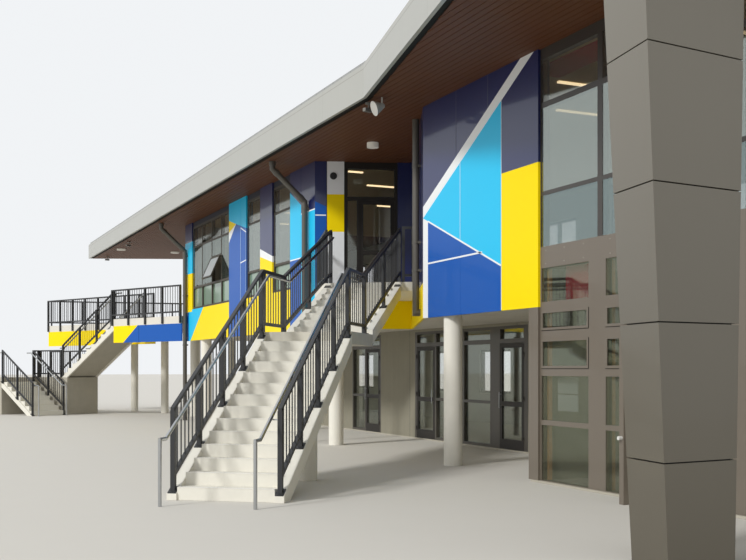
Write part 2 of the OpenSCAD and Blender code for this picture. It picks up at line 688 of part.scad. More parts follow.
column_y = clad_t + column_d / 2 + fit;
column_row = [for (i = [0:3]) [740 - i * column_pitch, column_y]];
deck_columns = [[-22500, 600], [-24600, -100], [-19300, 900], [-25400, 2600], [-21800, 3000]];
stair_column = [2640, -330];
module round_columns() color("ivory") {
    site() {
        for (p = column_row) translate([p[0], p[1], 0]) cylinder(d = column_d, h = lining_z, $fn = 48);
        for (p = deck_columns) translate([p[0], p[1], 0]) cylinder(d = thin_d, h = slab_under, $fn = 48);
    }
    // The column under the stair is cut along the slope that it carries
    stair_frame() intersection() {
        translate([stair_column[0], stair_column[1], 0]) cylinder(d = thin_d, h = landing_z, $fn = 48);
        translate([0, stair_w / 2, 0]) rotate([90, 0, 0]) linear_extrude(stair_w) polygon([
            [(waist_t + seat) / lower_k, 0], [lower_run, 0], [lower_run, lower_run * lower_k - waist_t - seat]]);
    }
}

// Deck

module on_deck_edge() on_line(deck_pt(deck_near, 0), deck_pt(0, 0)) children();
module on_far_edge() on_line(deck_pt(deck_near + deck_far, -deck_strip), deck_pt(deck_near, -deck_strip)) children();

deck_far_x = deck_pt(deck_near + deck_far, 0)[0];
module deck_outline() let (far = deck_pt(deck_near + deck_far, -deck_strip)) polygon([
    deck_pt(0, 0), deck_pt(deck_near, 0), deck_pt(deck_near, -deck_strip),
    deck_pt(deck_near + deck_far, -deck_strip), [far[0] + 1000, deck_back],
    [rear_x, deck_back], [wing_x, deck_back], [wing_x, 0]]);

module deck_slab() color("whitesmoke") site()
    translate([0, 0, band_top]) linear_extrude(floor_t)
        strips([deck_far_x - 1000, deck_pt(deck_near, -deck_strip)[0], deck_start[0] + 1]) deck_outline();

// Balustrades: posts, two rails and balusters between two points on a line

function within(z, levels) = max(levels[0], min(levels[1], z)) + seat;

// A run of length l that rises by rise: its posts stand foot above the line of the nosings, but
// keep within the two levels; high is the height of its rail
module rail_panel(l, rise, posts, foot = 0, levels = [-10000, 10000], high = rail_h) rotate([90, 0, 0]) {
    k = rise / l;
    top = high - rail_w;
    for (h = [110, top]) translate([0, 0, -rail_w / 2]) linear_extrude(rail_w)
        polygon([[0, h], [l, h + rise], [l, h + rise + rail_w], [0, h + rail_w]]);
    for (i = [0:posts]) let (x = i * (l - post_w) / posts) translate([0, 0, -post_w / 2]) linear_extrude(post_w)
        polygon([[x, within(k * x + foot, levels)], [x + post_w, within(k * (x + post_w) + foot, levels)],
                 [x + post_w, k * (x + post_w) + top + 10], [x, k * x + top + 10]]);
    n = floor((l - post_w) / baluster_gap);
    for (i = [1:n - 1]) let (x = post_w / 2 + i * (l - post_w) / n - baluster_w / 2)
        translate([0, 0, -baluster_w / 2]) linear_extrude(baluster_w)
            polygon([[x, 120 + k * x], [x + baluster_w, 120 + k * x], [x + baluster_w, top + 10 + k * x],
                     [x, top + 10 + k * x]]);
}

module stair_frame() site() translate([stair_foot[0], stair_foot[1], 0]) rotate([0, 0, stair_dir]) children();

// The upper rail starts where the line of its nosings meets the half landing and runs on past
// the top step
top_past = 240;
guard_h = rail_h + top_past * upper_k;
rail_start = upper_start - upper_going;
module stair_side() {
    translate([0, 0, riser]) rail_panel(lower_run - 2, (lower_run - 2) * lower_k, 4, lift);
    translate([lower_run, 0, landing_z]) rail_panel(rail_start - lower_run - 2, 0, 1);
    translate([rail_start, 0, landing_z]) let (l = stair_run + top_past - rail_start)
        rail_panel(l, l * upper_k, 2, lift, [0, floor_z - landing_z]);
}

// The landing's two open edges carry a level guard
landing_left = stair_pt(stair_run + seat, side_y);
landing_right = stair_pt(stair_run + seat, -side_y);
function nearest(p, a, b) = a + (b - a) * ((p - a) * (b - a)) / pow(norm(b - a), 2);
landing_walls = inset(upper_plan, -seat);
landing_corner = nearest(landing_right, landing_walls[2], landing_walls[3]);
guard_in = post_w / 2 + 20;
module stair_balustrade_right() color("black") {
    stair_frame() translate([0, -post_y, 0]) stair_side();
    site() on_line(landing_right, landing_corner) translate([20, guard_in, floor_z])
        rail_panel(span(landing_right, landing_corner) - 80, 0, 1, 0, [0, 0], guard_h);
}
module stair_balustrade_left() color("black") {
    stair_frame() translate([0, post_y, 0]) stair_side();
    site() on_line(landing_left, landing_walls[1]) translate([200, -guard_in, floor_z])
        rail_panel(span(landing_left, landing_walls[1]) - 380, 0, 3, 0, [0, 0], guard_h);
}

// Steps: each one stands on the sloping slab and stops just short of the next
module steps(n, g, r, w) for (i = [0:n - 1])
    translate([0, w / 2, seat]) rotate([90, 0, 0]) linear_extrude(w) polygon([
        [i * g, i * r], [(i + 1) * g - fit, (i + 1) * r - r * fit / g], [(i + 1) * g - fit, (i + 1) * r],
        [i * g, (i + 1) * r]]);

// The sloping slab under n steps; one that starts on something level is cut flat there
module waist(n, g, r, w, flat) translate([0, w / 2, 0]) rotate([90, 0, 0]) linear_extrude(w)
    let (k = r / g, l = n * g - eps) polygon(concat(
        flat ? [[waist_t / k, 0], [0, 0]] : [[eps, k * eps - waist_t], [eps, k * eps]],
        [[l, l * k], [l, l * k - waist_t]]));

// The sides of a flight of n steps that is w wide: each is wide across and deep upright, and its
// top is up above the inner corners of the steps
module stringers(n, g, r, w, flat, wide, deep, up) for (s = [-1, 1])
    translate([0, s * (w + wide) / 2 + wide / 2, 0]) rotate([90, 0, 0]) linear_extrude(wide)
        let (k = r / g, l = n * g - eps, lead = min(30, up / k)) polygon(concat(
            flat ? concat([[(deep - up) / k, 0], [-lead, 0]], up > lead * k ? [[-lead, up - lead * k]] : [])
                 : [[seat, up - deep + k * seat], [seat, up + k * seat]],
            [[l, l * k + up], [l, l * k + up - deep]]));

module main_flights() {
    stair_frame() children(0);
    stair_frame() translate([upper_start, 0, landing_z]) children(1);
}
inner_w = stair_w - 2 * seat;
module stair_slabs() color("lightgray") {
    main_flights() {
        waist(lower_steps - 1, going, riser, inner_w, true);
        waist(upper_steps - 1, upper_going, upper_riser, inner_w, false);
    }
    stair_frame() translate([lower_run, -side_y, landing_z - landing_t])
        cube([landing_l - fit, 2 * side_y, landing_t]);
}
module stair_stringers() color("lightgray") main_flights() {
    stringers(lower_steps - 1, going, riser, stair_w, true, stringer_w, stringer_d, riser + lift);
    stringers(upper_steps - 1, upper_going, upper_riser, stair_w, false, stringer_w, stringer_d,
              upper_riser + lift);
}
module stair_treads() color("whitesmoke") main_flights() {
    steps(lower_steps - 1, going, riser, inner_w);
    steps(upper_steps - 1, upper_going, upper_riser, inner_w);
}

landing_depth = 180;
module entry_landing() color("lightgray") site() translate([0, 0, floor_z - landing_depth])
    linear_extrude(landing_depth)
        polygon([landing_left, landing_walls[1], landing_walls[2], landing_corner, landing_right]);

// The half of space ahead of point p in direction n, near p
module ahead(p, n) translate(p) rotate([0, acos(n[2] / norm(n)), atan2(n[1], n[0])])
    translate([-150, -150, -0.2]) cube(300);

// A round tube through a list of points, mitred at every bend, each run a piece of its own
module tube(points, d) {
    last = len(points) - 2;
    ways = [for (i = [0:last]) (points[i + 1] - points[i]) / norm(points[i + 1] - points[i])];
    for (i = [0:last]) let (v = ways[i], a = i > 0 ? d : 0, b = i < last ? d : 0) difference() {
        translate(points[i] - v * a) rotate([0, acos(v[2]), atan2(v[1], v[0])])
            cylinder(d = d, h = norm(points[i + 1] - points[i]) + a + b, $fn = 24);
        if (i > 0) ahead(points[i], -(ways[i - 1] + v));
        if (i < last) ahead(points[i + 1], v + ways[i + 1]);
    }
}
hand_h = 900;
hand_in = 40;
// The handrail of one flight runs on level at both ends
module flight_rail(run, r, k, y) tube([[-250, y, r + hand_h], [0, y, r + hand_h],
    [run, y, r + k * run + hand_h], [run + 280, y, r + k * run + hand_h]], tube_d);
module handrails() color("silver") {
    stair_frame() for (y = [-stair_w / 2 + hand_in, stair_w / 2 - hand_in])
        tube([[-630, y, 0], [-630, y, 803], [-450, y, 803], [lower_run, y, landing_z + hand_h],
              [rail_start, y, landing_z + hand_h], [stair_run, y, floor_z + hand_h]], tube_d);
    deck_flights() {
        for (y = [-deck_w / 2 + hand_in, deck_w / 2 - hand_in])
            flight_rail(deck_run, deck_riser, deck_riser / deck_going, y);
        for (y = [-foot_w / 2 + hand_in, foot_w / 2 - hand_in])
            flight_rail(deck_foot_run, deck_foot_riser, deck_foot_riser / deck_going, y);
    }
}

// Deck stair: a flight back along the deck, a half landing and a flight out in front of it

module deck_frame(t, off) site() translate([deck_pt(t, off)[0], deck_pt(t, off)[1], 0])
    rotate([0, 0, deck_angle]) children();

deck_w = deck_flight_w - 2 * side_w;
deck_off = -30 - deck_flight_w / 2;
foot_w = deck_w;
foot_t = deck_near + 2650;
foot_off = 850;
side_deep = 190;
deck_top_t = deck_near + fit;
deck_foot_t = deck_top_t + deck_run;
module deck_flights() {
    deck_frame(deck_foot_t, deck_off) rotate([0, 0, 180]) translate([0, 0, deck_landing_z + seat]) children(0);
    deck_frame(foot_t, foot_off) children(1);
}
module deck_stair_slabs() color("gray") {
    deck_flights() {
        waist(deck_steps - 1, deck_going, deck_riser, deck_w - 2 * seat, true);
        waist(deck_foot_steps - 1, deck_going, deck_foot_riser, foot_w - 2 * seat, true);
    }
    // The upper flight stands on a pier that reaches under its lowest step
    pier_t = deck_foot_t - side_deep * deck_going / deck_riser - 20;
    turn_t = foot_t + deck_foot_run + fit;
    deck_frame(pier_t, deck_off - deck_flight_w / 2)
        cube([turn_t + 1300 - pier_t, deck_flight_w, deck_landing_z]);
    deck_frame(turn_t, deck_off + deck_flight_w / 2 + fit)
        cube([1300, foot_off + deck_flight_w / 2 - deck_off - deck_flight_w / 2 - fit, deck_landing_z]);
}
module deck_stair_stringers() color("whitesmoke") deck_flights() {
    stringers(deck_steps - 1, deck_going, deck_riser, deck_w, true, side_w, side_deep, 0);
    stringers(deck_foot_steps - 1, deck_going, deck_foot_riser, foot_w, true, side_w, side_deep, 0);
}
module deck_stair_treads() color("whitesmoke") deck_flights() {
    steps(deck_steps - 1, deck_going, deck_riser, deck_w - 2 * seat);
    steps(deck_foot_steps - 1, deck_going, deck_foot_riser, foot_w - 2 * seat);
}
// Its posts are fixed to the face of the slab
module deck_balustrade() color("black") {
    edge_foot = band_top + 10 - floor_z;
    deck_frame(0, post_w / 2 + seat) translate([0, 0, floor_z]) rail_panel(deck_near + 70, 0, 4, edge_foot);
    deck_frame(deck_near, post_w / 2 + seat - deck_strip) translate([0, 0, floor_z])
        rail_panel(deck_far, 0, 8, edge_foot);
}
deck_side = (deck_w + side_w) / 2;
module deck_stair_balustrade() color("black") deck_flights() {
    for (y = [deck_side, -deck_side]) translate([0, y, deck_riser])
        rail_panel(deck_run, deck_run * deck_riser / deck_going, 3, -deck_riser);
    for (y = [deck_side, -deck_side]) translate([0, y, deck_foot_riser])
        rail_panel(deck_foot_run, deck_foot_run * deck_foot_riser / deck_going, 2, -deck_foot_riser);
}

// Pylon: a tapered, leaning shaft clad in courses of panels

pylon_ridge = [[9915, -2845], [9738, -3010]];
pylon_front = [[-0.983, 0.184], 618, 770];
pylon_side = [[-0.113, 0.994], 778, 1300];
core_scale = 0.88;
function pylon_outline(i) = let (r = pylon_ridge[i], f = pylon_front[0] * pylon_front[1 + i],
    s = pylon_side[0] * pylon_side[1 + i]) [r + f, r, r + s, r + f + s];
pylon_foot = pylon_outline(0);
pylon_head = pylon_outline(1);
function lerp(a, b, t) = a + (b - a) * t;
function middle(c) = (c[0] + c[1] + c[2] + c[3]) / 4;
function pylon_ring(z, scale) =
    let (t = z / soffit_z, c = [for (i = [0:3]) lerp(pylon_foot[i], pylon_head[i], t)], m = middle(c))
    [for (p = c) m + (p - m) * scale];

// Every course has flat sides, because foot and head outlines run parallel
module pylon_block(z0, z1, scale) polyhedron(
    points = concat([for (p = pylon_ring(z0, scale)) [p[0], p[1], z0]],
                    [for (p = pylon_ring(z1, scale)) [p[0], p[1], z1]]),
    faces = [[0, 1, 2, 3], [7, 6, 5, 4], [0, 4, 5, 1], [1, 5, 6, 2], [2, 6, 7, 3], [3, 7, 4, 0]]);
module pylon_core() color("dimgray") site() pylon_block(0, soffit_z, core_scale - 0.002);
module pylon_panels() color("gray") site() difference() {
    courses = floor((soffit_z - course_low) / course_h);
    for (i = [-1:courses]) pylon_block(i < 0 ? 0 : course_low + i * course_h + course_gap / 2,
        min(course_low + (i + 1) * course_h - course_gap / 2, soffit_z), 1);
    pylon_block(-1, soffit_z + 1, core_scale);
}

// Two downpipes stand before the wing; a third drops into the return wall
pipe_off = pipe_d / 2 + 20;
module downpipes() color("dimgray") site() {
    for (x = [wing_x + 285, porch_x - 430])
        tube([[x, -pipe_off, 0], [x, -pipe_off, 5440], [x, -850, 6130], [x, -850, soffit_z]], pipe_d);
    way = (corner_b - corner_c) / return_l;
    out = [-way[1], way[0]];
    p = corner_c + way * 950;
    tube([[p[0] + out[0] * pipe_off, p[1] + out[1] * pipe_off, soffit_z],
          [p[0] + out[0] * pipe_off, p[1] + out[1] * pipe_off, 2700],
          [p[0] + out[0] * 0.3, p[1] + out[1] * 0.3, 2700]], pipe_d);
}

ground_slab();
ground_front_wall();
outer_walls();
front_walls();
first_floor_slab();
undercroft_soffit();
roof_build_up();
roof_fascia();
eave_soffit();
navy_panels();
cobalt_panels();
cyan_panels();
yellow_panels();
white_panels();
window_frames();
spandrel_glass();
upper_glass();
glazed_wall_frame();
ground_glass();
ground_screens();
porch_screen();
round_columns();
deck_slab();
deck_balustrade();
deck_stair_slabs();
deck_stair_stringers();
deck_stair_treads();
deck_stair_balustrade();
stair_slabs();
stair_stringers();
stair_treads();
entry_landing();
stair_balustrade_left();
stair_balustrade_right();
handrails();
pylon_core();
pylon_panels();
downpipes();
door_left_leaf();
door_left_glass();
door_middle_leaf();
door_middle_glass();
door_right_leaf();
door_right_glass();
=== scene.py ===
import math
import bmesh
import bpy
from mathutils import Matrix, Vector


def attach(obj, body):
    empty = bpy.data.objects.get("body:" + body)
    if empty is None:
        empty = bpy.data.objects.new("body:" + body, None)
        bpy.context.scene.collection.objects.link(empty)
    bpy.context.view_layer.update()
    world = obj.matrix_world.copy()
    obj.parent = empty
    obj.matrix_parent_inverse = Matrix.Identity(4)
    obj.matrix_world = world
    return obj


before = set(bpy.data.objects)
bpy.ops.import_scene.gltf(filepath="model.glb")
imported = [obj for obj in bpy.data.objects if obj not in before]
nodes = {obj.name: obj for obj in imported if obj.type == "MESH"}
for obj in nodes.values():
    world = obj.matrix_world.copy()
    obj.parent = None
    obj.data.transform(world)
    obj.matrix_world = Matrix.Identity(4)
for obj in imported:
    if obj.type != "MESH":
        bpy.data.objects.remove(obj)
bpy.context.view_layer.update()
print("frame loaded:", len(nodes), "nodes")

# Places are in metres from the left edge of the coloured front, along it and into the building.
# This is where that edge stands in the model.
siteX, siteY = 9.0, -5.0

# Levels and walls that several pieces go by. The porch's left wall leaves the front at porchTurn
# and ends porchRun from there.
plan = {
    "floor": 3.36, "soffit": 6.31, "deckLanding": 1.344, "back": 8.0, "rightEnd": 10.4, "deckWall": 4.2,
    "porchTurn": (-5.32, 0.0), "porchRun": (0.72, 2.05),
}


def placed(x, y, z):
    return Vector((x + siteX, y + siteY, z))


# A hex colour as the linear values that Blender works in
def srgb(text):
    values = [int(text[i:i + 2], 16) / 255 for i in (0, 2, 4)]
    return tuple(v / 12.92 if v <= 0.04045 else ((v + 0.055) / 1.055) ** 2.4 for v in values)


# Shader groups shared by the materials
def newGroup(name, inputs, outputs):
    tree = bpy.data.node_groups.new(name, "ShaderNodeTree")
    for label, kind, value in inputs:
        socket = tree.interface.new_socket(name=label, in_out="INPUT", socket_type=kind)
        socket.default_value = value
    for label, kind in outputs:
        tree.interface.new_socket(name=label, in_out="OUTPUT", socket_type=kind)
    return tree, tree.nodes.new("NodeGroupInput"), tree.nodes.new("NodeGroupOutput")


def mathNode(tree, operation, first, second=None):
    node = tree.nodes.new("ShaderNodeMath")
    node.operation = operation
    for socket, value in zip(node.inputs, (first, second)):
        if isinstance(value, (int, float)):
            socket.default_value = value
        elif value is not None:
            tree.links.new(value, socket)
    return node.outputs[0]


# The first colour comes from a socket and the second is a plain one
def mixColour(tree, factor, first, second):
    node = tree.nodes.new("ShaderNodeMix")
    node.data_type = "RGBA"
    tree.links.new(factor, node.inputs[0])
    tree.links.new(first, node.inputs[6])
    node.inputs[7].default_value = (*second, 1)
    return node.outputs[2]


# Clouds and rain streaks that darken a colour a little, with a height for the bump
weatherLook = {"cloudDetail": 6, "cloudRoughness": 0.65, "streakScale": 9, "streakDetail": 3,
               "streakDrawn": (1, 1, 0.07), "grime": (0.05, 0.045, 0.035)}


def makeWeather():
    tree, given, result = newGroup(
        "weather",
        [("Color", "NodeSocketColor", (0.5, 0.5, 0.5, 1)), ("Clouds", "NodeSocketFloat", 0.1),
         ("Streaks", "NodeSocketFloat", 0.0), ("Scale", "NodeSocketFloat", 1.5)],
        [("Color", "NodeSocketColor"), ("Height", "NodeSocketFloat")])
    place = tree.nodes.new("ShaderNodeTexCoord")
    clouds = tree.nodes.new("ShaderNodeTexNoise")
    clouds.inputs["Detail"].default_value = weatherLook["cloudDetail"]
    clouds.inputs["Roughness"].default_value = weatherLook["cloudRoughness"]
    tree.links.new(place.outputs["Object"], clouds.inputs["Vector"])
    tree.links.new(given.outputs["Scale"], clouds.inputs["Scale"])
    drawn = tree.nodes.new("ShaderNodeMapping")
    drawn.inputs["Scale"].default_value = weatherLook["streakDrawn"]
    tree.links.new(place.outputs["Object"], drawn.inputs["Vector"])
    streaks = tree.nodes.new("ShaderNodeTexNoise")
    streaks.inputs["Scale"].default_value = weatherLook["streakScale"]
    streaks.inputs["Detail"].default_value = weatherLook["streakDetail"]
    tree.links.new(drawn.outputs[0], streaks.inputs["Vector"])
    darker = mathNode(tree, "ADD",
                      mathNode(tree, "MULTIPLY", clouds.outputs["Fac"], given.outputs["Clouds"]),
                      mathNode(tree, "MULTIPLY", streaks.outputs["Fac"], given.outputs["Streaks"]))
    dirty = mixColour(tree, darker, given.outputs["Color"], weatherLook["grime"])
    tree.links.new(dirty, result.inputs["Color"])
    tree.links.new(clouds.outputs["Fac"], result.inputs["Height"])
    return tree


# Straight lines of one width, a pitch apart, across one direction
def makeLines():
    tree, given, result = newGroup(
        "lines",
        [("Across", "NodeSocketVector", (1, 0, 0)), ("Pitch", "NodeSocketFloat", 1.0),
         ("Width", "NodeSocketFloat", 0.01), ("Start", "NodeSocketFloat", 0.0)],
        [("Line", "NodeSocketFloat"), ("Gap", "NodeSocketFloat")])
    place = tree.nodes.new("ShaderNodeTexCoord")
    along = tree.nodes.new("ShaderNodeVectorMath")
    along.operation = "DOT_PRODUCT"
    tree.links.new(place.outputs["Object"], along.inputs[0])
    tree.links.new(given.outputs["Across"], along.inputs[1])
    moved = mathNode(tree, "SUBTRACT", along.outputs["Value"], given.outputs["Start"])
    part = mathNode(tree, "FRACT", mathNode(tree, "DIVIDE", moved, given.outputs["Pitch"]))
    off = mathNode(tree, "ABSOLUTE", mathNode(tree, "SUBTRACT", part, 0.5))
    double = mathNode(tree, "MULTIPLY", given.outputs["Pitch"], 2)
    half = mathNode(tree, "DIVIDE", given.outputs["Width"], double)
    line = mathNode(tree, "GREATER_THAN", off, mathNode(tree, "SUBTRACT", 0.5, half))
    tree.links.new(line, result.inputs["Line"])
    tree.links.new(mathNode(tree, "SUBTRACT", 1, line), result.inputs["Gap"])
    return tree


weatherGroup = makeWeather()
linesGroup = makeLines()


def newMaterial(name):
    material = bpy.data.materials.new(name)
    material.use_nodes = True
    return material, material.node_tree, material.node_tree.nodes["Principled BSDF"]


finishLook = {"coatRoughness": 0.08, "coatIor": 1.65, "cloudHeight": 0.3, "reliefDepth": 0.01}


# A finish: a colour with weather over it. It may change colour above a height (above) or darken
# towards the ground from a height down (foot), both of them painted shade, and have lines a pitch
# apart: direction, pitch, width, start and colour.
def finishOf(name, colour, roughness=0.5, metallic=0.0, coat=0.0, clouds=0.08, streaks=0.0, scale=1.5,
             bump=0.0, lines=(), gloss=0.5, above=None, foot=None):
    material, tree, shader = newMaterial(name)
    shader.inputs["Roughness"].default_value = roughness
    shader.inputs["Metallic"].default_value = metallic
    shader.inputs["Coat Weight"].default_value = coat
    shader.inputs["Specular IOR Level"].default_value = gloss
    shader.inputs["Coat Roughness"].default_value = finishLook["coatRoughness"]
    shader.inputs["Coat IOR"].default_value = finishLook["coatIor"]
    weather = tree.nodes.new("ShaderNodeGroup")
    weather.node_tree = weatherGroup
    weather.inputs["Color"].default_value = (*srgb(colour), 1)
    weather.inputs["Clouds"].default_value = clouds
    weather.inputs["Streaks"].default_value = streaks
    weather.inputs["Scale"].default_value = scale
    seen = weather.outputs["Color"]
    height = mathNode(tree, "MULTIPLY", weather.outputs["Height"], finishLook["cloudHeight"])
    if above or foot:
        place = tree.nodes.new("ShaderNodeTexCoord")
        split = tree.nodes.new("ShaderNodeSeparateXYZ")
        tree.links.new(place.outputs["Object"], split.inputs[0])
    if above:
        higher = mathNode(tree, "GREATER_THAN", split.outputs["Z"], above[0])
        seen = mixColour(tree, higher, seen, srgb(above[1]))
    if foot:
        lower = mathNode(tree, "SUBTRACT", 1, mathNode(tree, "DIVIDE", split.outputs["Z"], foot[0]))
        lower.node.use_clamp = True
        seen = mixColour(tree, lower, seen, srgb(foot[1]))
    for across, pitch, width, start, dark in lines:
        joint = tree.nodes.new("ShaderNodeGroup")
        joint.node_tree = linesGroup
        joint.inputs["Across"].default_value = across
        joint.inputs["Pitch"].default_value = pitch
        joint.inputs["Width"].default_value = width
        joint.inputs["Start"].default_value = start
        seen = mixColour(tree, joint.outputs["Line"], seen, srgb(dark))
        height = mathNode(tree, "MULTIPLY", height, joint.outputs["Gap"])
    tree.links.new(seen, shader.inputs["Base Color"])
    if bump:
        relief = tree.nodes.new("ShaderNodeBump")
        relief.inputs["Strength"].default_value = bump
        relief.inputs["Distance"].default_value = finishLook["reliefDepth"]
        tree.links.new(height, relief.inputs["Height"])
        tree.links.new(relief.outputs[0], shader.inputs["Normal"])
    return material


paneLook = {"metallic": 0.9, "roughness": 0.03, "blend": 0.35}


# Glass that shows the room behind it and mirrors the sky: cover is how much it hides where it faces
# the eye, and slanted how much at a slant
def glassOf(name, tint, cover, slanted):
    material, tree, shader = newMaterial(name)
    shader.inputs["Base Color"].default_value = (*srgb(tint), 1)
    shader.inputs["Metallic"].default_value = paneLook["metallic"]
    shader.inputs["Roughness"].default_value = paneLook["roughness"]
    facing = tree.nodes.new("ShaderNodeLayerWeight")
    facing.inputs["Blend"].default_value = paneLook["blend"]
    span = mathNode(tree, "MULTIPLY", facing.outputs["Fresnel"], slanted - cover)
    tree.links.new(mathNode(tree, "ADD", span, cover), shader.inputs["Alpha"])
    return material


def glowOf(name, colour, strength):
    material, tree, shader = newMaterial(name)
    shader.inputs["Base Color"].default_value = (*srgb(colour), 1)
    shader.inputs["Emission Color"].default_value = (*srgb(colour), 1)
    shader.inputs["Emission Strength"].default_value = strength
    return material


# The finishes of the CAD nodes, with one shared material where the real surface is the same
alongX, upright = (1, 0, 0), (0, 0, 1)
screenMetal = finishOf("screenMetal", "24201c", 0.45, clouds=0.06, gloss=0.3)
# The glazed wall's frames turn darker above 3.42 m: painted shade of the eave over the upper storey
frameMetal = finishOf("frameMetal", "6f665a", 0.4, coat=0.15, clouds=0.06, above=(3.42, "37322d"))
charcoalPaint = finishOf("charcoalPaint", "232426", 0.45, coat=0.1, clouds=0.05)
paleConcrete = finishOf("paleConcrete", "ebe7da", 0.8, clouds=0.16, streaks=0.05, scale=3, bump=0.25)
greyConcrete = finishOf("greyConcrete", "bdb7a7", 0.85, clouds=0.3, streaks=0.1, scale=2, bump=0.3)
brightPane = glassOf("brightPane", "d8dcd4", 0.1, 0.2)
clearPane = glassOf("clearPane", "c6ccc0", 0.12, 0.3)
cladding = {"roughness": 0.4, "clouds": 0.03}
finish = {
    "ground_slab": greyConcrete,
    "first_floor_slab": greyConcrete,
    "ground_front_wall": finishOf("wallConcrete", "96917f", 0.85, clouds=0.25, streaks=0.15, bump=0.3,
                                  lines=[(alongX, 2.4, 0.012, 0.6, "3a3934")]),
    "outer_walls": finishOf("rearPanels", "c3bfb4", 0.7, clouds=0.12, streaks=0.12, bump=0.15,
                            lines=[(upright, 3.36, 0.018, 0.0, "77736a"),
                                   (alongX, 3.25, 0.012, -0.1, "8a867c")]),
    "front_walls": finishOf("wallBacking", "14192b", 0.6),
    "undercroft_soffit": finishOf("undercroftLining", "cfcabd", 0.8,
                                  lines=[(alongX, 2.4, 0.01, 0.2, "7f7b72")]),
    "roof_build_up": finishOf("roofSheet", "9fa09e", 0.45, 0.2, clouds=0.12, streaks=0.06, bump=0.4,
                              lines=[(alongX, 0.42, 0.03, 0.0, "83847f")]),
    "roof_fascia": finishOf("fasciaSheet", "acaca5", 0.42, coat=0.1, clouds=0.05, streaks=0.04,
                            lines=[(upright, 10.0, 0.014, 6.80, "8f8c84"),
                                   (alongX, 3.0, 0.008, 1.2, "98958c")]),
    # Nearly black: along the fascia and between the boards it is partly a dark trim and partly painted shade
    # of the gap
    "eave_soffit": finishOf("soffitBacking", "16130f", 0.7, gloss=0.2),
    "navy_panels": finishOf("navyPanel", "0d1c55", coat=0.5, **cladding),
    "cobalt_panels": finishOf("cobaltPanel", "0055ad", coat=0.1, gloss=0.25, **cladding),
    "cyan_panels": finishOf("cyanPanel", "1cc4f2", coat=0.05, gloss=0.3, **cladding),
    "yellow_panels": finishOf("yellowPanel", "ffe000", gloss=0.12, **cladding),
    "white_panels": finishOf("whitePanel", "eef0f0", gloss=0.3, **cladding),
    "window_frames": finishOf("windowMetal", "474239", 0.5, clouds=0.06, gloss=0.3),
    "porch_screen": screenMetal,
    "ground_screens": finishOf("doorSurround", "423d35", 0.4, coat=0.1, clouds=0.06),
    "glazed_wall_frame": frameMetal,
    "spandrel_glass": finishOf("spandrelPane", "7a917c", 0.15, coat=0.3, clouds=0.02),
    "upper_glass": brightPane,
    "ground_glass": clearPane,
    "round_columns": finishOf("columnPaint", "f0ecdf", 0.6, clouds=0.12, streaks=0.1, scale=3, bump=0.1),
    "deck_slab": finishOf("deckEdge", "e4dfd3", 0.8, clouds=0.15, streaks=0.05, bump=0.2),
    "deck_balustrade": charcoalPaint,
    "deck_stair_slabs": greyConcrete,
    "deck_stair_stringers": paleConcrete,
    "deck_stair_treads": paleConcrete,
    "deck_stair_balustrade": charcoalPaint,
    # A little darker than the treads' concrete: painted shade of the slabs' undersides
    "stair_slabs": finishOf("stairConcrete", "d6d1c2", 0.8, clouds=0.2, streaks=0.08, bump=0.25),
    "stair_stringers": paleConcrete,
    "stair_treads": paleConcrete,
    "entry_landing": paleConcrete,
    "stair_balustrade_left": charcoalPaint,
    "stair_balustrade_right": charcoalPaint,
    "handrails": finishOf("stainless", "b9bbbc", 0.28, 1.0, clouds=0.02),
    "pylon_core": finishOf("pylonFrame", "23211e", 0.6),
    # Darker towards the ground from 6.2 m down: painted shade on the pylon's lower courses
    "pylon_panels": finishOf("pylonSheet", "787367", 0.4, coat=0.15, clouds=0.05, streaks=0.03,
                             foot=(6.2, "544e41")),
    "downpipes": finishOf("pipePaint", "56524a", 0.4, coat=0.1, streaks=0.05),
}
for side in ("left", "middle", "right"):
    finish[f"door_{side}_leaf"] = screenMetal
    finish[f"door_{side}_glass"] = clearPane
for name, node in nodes.items():
    node.data.materials.clear()
    node.data.materials.append(finish[name])
print("finishes set:", len(finish))


# What was drawn becomes one mesh that rides a body
def addPiece(name, work, material, body="building"):
    mesh = bpy.data.meshes.new(name)
    work.to_mesh(mesh)
    work.free()
    mesh.materials.append(material)
    piece = bpy.data.objects.new(name, mesh)
    bpy.context.scene.collection.objects.link(piece)
    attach(piece, body)


def joined(name, draw, material, body="building"):
    work = bmesh.new()
    draw(work)
    addPiece(name, work, material, body)


# turn is about the vertical, slope lifts the piece's length; both in degrees
def boxAt(work, centre, size, turn=0.0, slope=0.0):
    way = Matrix.Translation(placed(*centre)) @ Matrix.Rotation(math.radians(turn), 4, "Z")
    way = way @ Matrix.Rotation(-math.radians(slope), 4, "Y") @ Matrix.Diagonal((*size, 1))
    bmesh.ops.create_cube(work, size=1, matrix=way)


# A round rod, or a cone where endWidth is given
def rodAt(work, start, end, width, sides=16, endWidth=None):
    low, high = placed(*start), placed(*end)
    way = high - low
    turned = way.to_track_quat("Z", "Y").to_matrix().to_4x4()
    bmesh.ops.create_cone(work, cap_ends=True, segments=sides, radius1=width / 2,
                          radius2=(endWidth or width) / 2, depth=way.length,
                          matrix=Matrix.Translation((low + high) / 2) @ turned)


